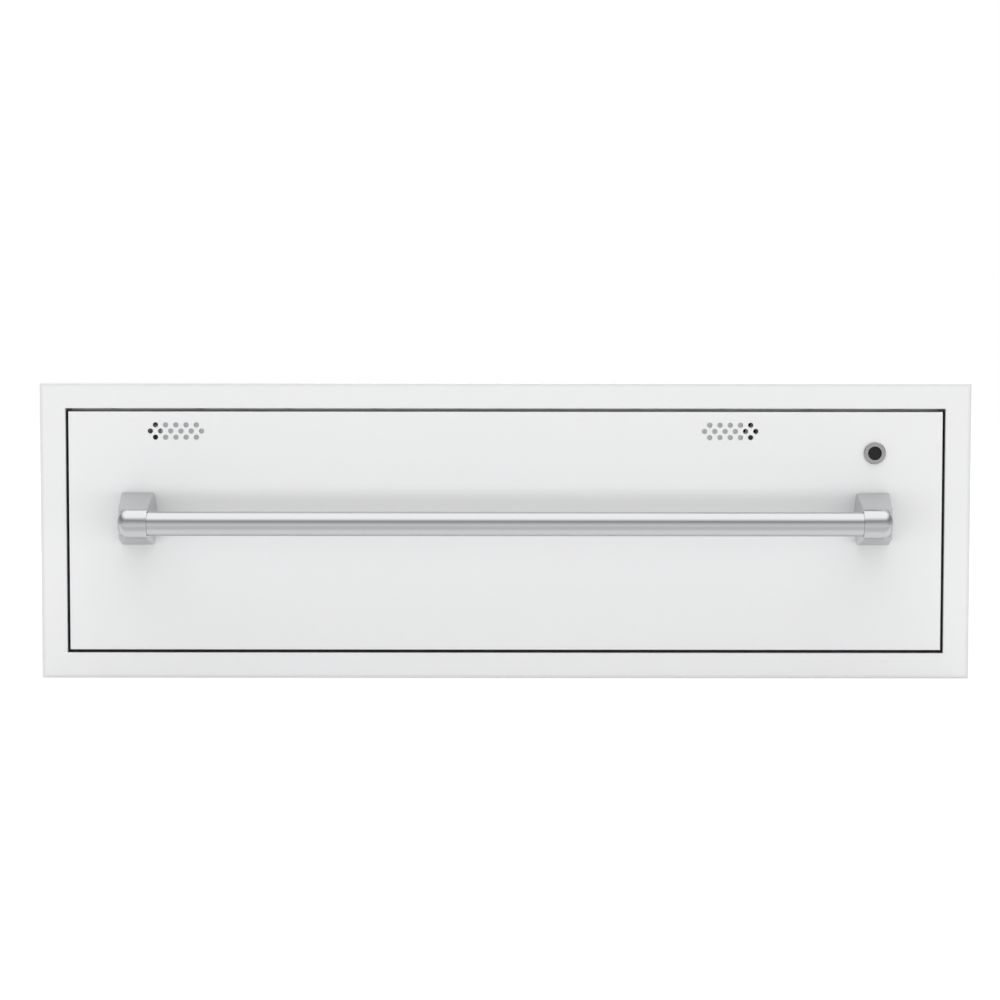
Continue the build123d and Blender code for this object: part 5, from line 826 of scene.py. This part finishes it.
ducts_low, ducts_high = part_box("vent_ducts")
front_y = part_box("drawer_front_skin")[0].y
row_length = VENT_PITCH * (VENT_LONG_ROW_COUNT - 1)
vent_starts = {"left": ducts_low.x + VENT_FROM_DUCT, "right": ducts_high.x - VENT_FROM_DUCT - row_length}
for side, start_x in vent_starts.items():
    start = (start_x, front_y, (ducts_low.z + ducts_high.z) / 2)
    solid_from(
        f"vent_rims_{side}", tree, "drawer", "white_powder_coat", Start=start, Pitch=VENT_PITCH, Row=VENT_ROW,
        Radius=VENT_RADIUS + RIM_THICK / 2, Thickness=RIM_THICK, Long_row=VENT_LONG_ROW_COUNT,
    )

# %% [markdown]
# ### Ribs pressed into the casing
# A flat sheet of this size drums, so long ribs are pressed into it. A rib is a ball drawn out into a
# capsule: its two halves are pulled apart along its length and its height is squashed. Most of it stands
# proud and the rest is sunk in the sheet, so it has no open edge.

# %% The rule for a row of ribs
ROW_PLUGS = {"Start": "Vector", "Step": "Vector", "Turn": "Rotation", "Count": "Int"}
BALL_SEGMENTS, BALL_RINGS = 24, 14

tree, plugs = start_tree("pressed_ribs", ROW_PLUGS | {
    "Length": "Float", "Width": "Float", "Height": "Float", "Sunk": "Float",
})
ball = node(tree, "GeometryNodeMeshUVSphere", Segments=BALL_SEGMENTS, Rings=BALL_RINGS, Radius=1.0)
half_width = product(tree, plugs["Width"], 0.5)
squash = vector_of(tree, X=half_width, Y=half_width, Z=plugs["Height"])
flat = node(tree, "GeometryNodeTransform", Geometry=ball.outputs["Mesh"], Scale=squash)
spot = parts_of(tree, node(tree, "GeometryNodeInputPosition").outputs[0])
reach = product(tree, sum_node(tree, "SUBTRACT", plugs["Length"], plugs["Width"]), 0.5)
pulled = sum_node(tree, "MULTIPLY_ADD", sum_node(tree, "SIGN", spot["Y"]), reach, spot["Y"])
kept = sum_node(tree, "MAXIMUM", spot["Z"], product(tree, plugs["Sunk"], -1.0))
target = vector_of(tree, X=spot["X"], Y=pulled, Z=kept)
rib = node(tree, "GeometryNodeSetPosition", Geometry=flat.outputs[0], Position=target)
line = point_row(tree, plugs["Count"], plugs["Start"], plugs["Step"])
end_tree(tree, rib.outputs[0], line, FINISHES["galvanised_sheet"], Rotation=plugs["Turn"])

# %% Ribs on all four sheets
RIB_HEIGHT, RIB_WIDTH, RIB_SUNK = 1.4 * MM, 16 * MM, 0.5 * MM
TO_LEFT, TO_RIGHT = (0, -pi / 2, 0), (0, pi / 2, 0)

casing_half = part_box("casing_shell")[1].x
casing_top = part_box("casing_top")[1].z
casing_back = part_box("casing_back")[1].y
rib_rows = {  # first centre, step, turn, count, length
    "ribs_left": ((-casing_half, 300 * MM, 58 * MM), (0, 0, 90 * MM), TO_LEFT, 2, 420 * MM),
    "ribs_right": ((casing_half, 300 * MM, 58 * MM), (0, 0, 90 * MM), TO_RIGHT, 2, 420 * MM),
    "ribs_top": ((-240 * MM, 300 * MM, casing_top), (160 * MM, 0, 0), (0, 0, 0), 4, 440 * MM),
    "ribs_back": ((-80 * MM, casing_back, 62 * MM), (0, 0, 82 * MM), (-pi / 2, pi / 2, 0), 2, 480 * MM),
}
for name, (start, step, turn, count, length) in rib_rows.items():
    solid_from(
        name, tree, "root", "galvanised_sheet", Start=start, Step=step, Turn=turn, Count=count, Length=length,
        Width=RIB_WIDTH, Height=RIB_HEIGHT, Sunk=RIB_SUNK,
    )

# %% [markdown]
# ### Spot welds
# The casing's flanges are held by spot welds. The electrode leaves a shallow round dish with a raised
# edge every few centimetres. The tree takes a ball of radius one, lowers the middle of its upper half,
# squashes both halves and sets the result out in a row.

# %% The rule for a row of spot welds
WELD_SEGMENTS, WELD_RINGS = 20, 16
DISH_SPAN = (0.35, 0.85)  # the dish rises over this part of the radius
DISH_MIDDLE = 0.35
DISH_RISE = 1.6

tree, plugs = start_tree("spot_welds", ROW_PLUGS | {"Radius": "Float", "Proud": "Float", "Sunk": "Float"})
ball = node(tree, "GeometryNodeMeshUVSphere", Segments=WELD_SEGMENTS, Rings=WELD_RINGS, Radius=1.0)
spot = parts_of(tree, node(tree, "GeometryNodeInputPosition").outputs[0])
spot_level = vector_of(tree, X=spot["X"], Y=spot["Y"])
far = node(tree, "ShaderNodeVectorMath", {"operation": "LENGTH"}, Vector=spot_level).outputs["Value"]
dish = ranged(tree, far, *DISH_SPAN, DISH_MIDDLE, 1.0)
dish.node.interpolation_type = "SMOOTHSTEP"
upper = product(tree, spot["Z"], plugs["Proud"], dish, DISH_RISE)
lower = product(tree, spot["Z"], plugs["Sunk"])
above = sum_node(tree, "GREATER_THAN", spot["Z"], 0.0)
height = node(tree, "ShaderNodeMix", {"data_type": "FLOAT"}, Factor=above)
feed(tree, height.inputs[2], lower)
feed(tree, height.inputs[3], upper)
wide_x, wide_y = (product(tree, spot[axis], plugs["Radius"]) for axis in "XY")
target = vector_of(tree, X=wide_x, Y=wide_y, Z=height.outputs[0])
weld = node(tree, "GeometryNodeSetPosition", Geometry=ball.outputs["Mesh"], Position=target)
line = point_row(tree, plugs["Count"], plugs["Start"], plugs["Step"])
end_tree(tree, weld.outputs[0], line, FINISHES["galvanised_sheet"], Rotation=plugs["Turn"])

# %% Rows of spot welds
WELD_RADIUS, WELD_PROUD, WELD_SUNK = 3.0 * MM, 0.18 * MM, 0.4 * MM
WELD_COUNT = 9

weld_rows = {  # first centre, step, turn
    "welds_left": ((-casing_half, 60 * MM, 9 * MM), (0, 60 * MM, 0), TO_LEFT),
    "welds_right": ((casing_half, 60 * MM, 9 * MM), (0, 60 * MM, 0), TO_RIGHT),
    "welds_back": ((-300 * MM, casing_back, 196 * MM), (75 * MM, 0, 0), (-pi / 2, 0, 0)),
}
for name, (start, step, turn) in weld_rows.items():
    solid_from(
        name, tree, "root", "galvanised_sheet", Start=start, Step=step, Turn=turn, Count=WELD_COUNT,
        Radius=WELD_RADIUS, Proud=WELD_PROUD, Sunk=WELD_SUNK,
    )

# %% [markdown]
# ### The dial
# The control sits in a recess behind the drawer front. Black ticks are printed on the recess's floor,
# from the rest place of the knob's pointer and round to the end of its 290 degree travel.

# %% The rule for a ring of ticks
tree, plugs = start_tree("dial_ticks", {
    "Centre": "Vector", "Radius": "Float", "Travel": "Float", "Count": "Int", "Size": "Vector",
})
tick = node(tree, "GeometryNodeMeshCube", Size=plugs["Size"])
raised = vector_of(tree, Z=plugs["Radius"])
tick = node(tree, "GeometryNodeTransform", Geometry=tick.outputs["Mesh"], Translation=raised)
places = node(tree, "GeometryNodePoints", Count=plugs["Count"], Position=plugs["Centre"])
last = sum_node(tree, "SUBTRACT", plugs["Count"], 1.0)
share = sum_node(tree, "DIVIDE", node(tree, "GeometryNodeInputIndex").outputs[0], last)
turn = vector_of(tree, Y=product(tree, share, plugs["Travel"]))
end_tree(tree, tick.outputs[0], places.outputs[0], FINISHES["knob_plastic"], Rotation=turn)

# %% Ticks round the knob
RECESS_SHEET = 1.0 * MM
DIAL_TRAVEL = radians(290)
TICK_COUNT = 11
TICK_SIZE = (1.1 * MM, 0.1 * MM, 4.5 * MM)
TICK_RADIUS = 23.5 * MM

knob_low, knob_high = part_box("control_knob")
knob_x, knob_z = (knob_low.x + knob_high.x) / 2, (knob_low.z + knob_high.z) / 2
dial_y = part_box("control_recess")[1].y - RECESS_SHEET
solid_from(
    "dial_ticks", tree, "root", "knob_plastic", Centre=(knob_x, dial_y, knob_z), Radius=TICK_RADIUS,
    Travel=DIAL_TRAVEL, Count=TICK_COUNT, Size=TICK_SIZE,
)

# %% [markdown]
# ## Shapes that are easier by hand
# A few pieces have no rule of repetition. They are made as meshes with bmesh. The first is the knob's
# pointer: a groove in the knob, filled with a strip of white that has rounded corners.

# %% The strip in the knob's pointer
POINTER_SIZE = (1.1 * MM, 0.55 * MM, 7.3 * MM)
POINTER_RISE = 7.5 * MM
POINTER_GAP = 0.02 * MM
POINTER_CORNER = 0.33 * MM

pointer_white = finish(
    "pointer_white", ((0.80, 0.80, 0.78), (0.86, 0.86, 0.84)), (0.40, 0.50), MOULDED_SKIN, size=0.4 * MM,
    bump=0.01 * MM, marks=0.05,
)


def made_piece(name, shape, material, body):
    mesh = bpy.data.meshes.new(name)
    shape.to_mesh(mesh)
    shape.free()
    mesh.materials.append(material)
    return add_piece(name, mesh, body)


def runs_in_depth(edge):
    return abs((edge.verts[0].co - edge.verts[1].co).y) > POINTER_SIZE[1] / 2


strip = bmesh.new()
centre = Vector((knob_x, knob_low.y + POINTER_SIZE[1] / 2 + POINTER_GAP, knob_z + POINTER_RISE))
placed = Matrix.Translation(centre) @ Matrix.Diagonal((*POINTER_SIZE, 1))
bmesh.ops.create_cube(strip, size=1.0, matrix=placed)
corners = [edge for edge in strip.edges if runs_in_depth(edge)]
bmesh.ops.bevel(strip, geom=corners, offset=POINTER_CORNER, segments=3, affect="EDGES", profile=0.5)
made_piece("pointer_strip", strip, pointer_white, "control_knob")

# %% [markdown]
# ### Mineral wool
# Wool batts are cut to size and pushed in, so their faces are uneven. Each batt starts as the solid
# model's block. It is cut on a grid about a centimetre wide, and each point then moves in or out by a
# little noise. The surface keeps its outline and goes lumpy like the real thing. A mesh from the packed
# model is loose triangles, so its copy is merged first.

# %% A clean copy of a node's mesh
MERGE_WITHIN = 0.005 * MM
FLAT_WITHIN = radians(1)


def clean_copy(name):
    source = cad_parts[name]
    shape = bmesh.new()
    shape.from_mesh(source.data)
    bmesh.ops.transform(shape, matrix=source.matrix_world, verts=shape.verts)
    bmesh.ops.remove_doubles(shape, verts=shape.verts, dist=MERGE_WITHIN)
    bmesh.ops.dissolve_limit(shape, angle_limit=FLAT_WITHIN, verts=shape.verts, edges=shape.edges)
    return shape


# %% Batts with uneven faces
WOOL_GRID = 11 * MM
WOOL_LUMP = 22 * MM
WOOL_FALL_OFF, WOOL_FINER, WOOL_LAYERS = 0.9, 2.2, 3  # how the noise adds finer lumps to coarse ones
WOOL_OUT, WOOL_IN = 0.15 * MM, 1.3 * MM
CUT_WITHIN = 0.001 * MM


def cut_on_grid(shape, low, high):
    for axis in range(3):
        normal = Vector([float(axis == other) for other in range(3)])
        count = int((high[axis] - low[axis]) / WOOL_GRID)
        for step in range(1, count):
            place = low.lerp(high, step / count)
            everything = shape.verts[:] + shape.edges[:] + shape.faces[:]
            bmesh.ops.bisect_plane(shape, geom=everything, plane_co=place, plane_no=normal, dist=CUT_WITHIN)


def batt(name, body):
    shape = clean_copy(name)
    cut_on_grid(shape, *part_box(name))
    bmesh.ops.triangulate(shape, faces=[face for face in shape.faces if len(face.verts) > 4])
    bmesh.ops.recalc_face_normals(shape, faces=shape.faces)
    shape.normal_update()
    for point in shape.verts:
        lump = 0.5 + 0.5 * fractal(point.co / WOOL_LUMP, WOOL_FALL_OFF, WOOL_FINER, WOOL_LAYERS)
        point.co -= point.normal * (WOOL_IN * lump - WOOL_OUT)
    piece = made_piece("wool_" + name, shape, FINISHES["mineral_wool"], body)
    piece.data.shade_smooth()
    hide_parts(name)


batt("insulation_blanket", "root")
batt("front_insulation", "drawer")

# %% [markdown]
# ### Folded corners of the casing
# Sheet can't be folded to a sharp edge. The casing's three sheets are copied from the solid model, and
# every sharp edge of the copies gets a small round, so that edges catch the light.

# %% Round the casing's edges
EDGE_ROUND = 0.3 * MM
SHARP_FROM = radians(50)

for name in ("casing_shell", "casing_top", "casing_back"):
    shape = clean_copy(name)
    piece = made_piece(name + "_sheet", shape, FINISHES["galvanised_sheet"], "root")
    rounding = piece.modifiers.new("folds", "BEVEL")
    rounding.width = EDGE_ROUND
    rounding.segments = 2
    rounding.limit_method = "ANGLE"
    rounding.angle_limit = SHARP_FROM
    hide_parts(name)
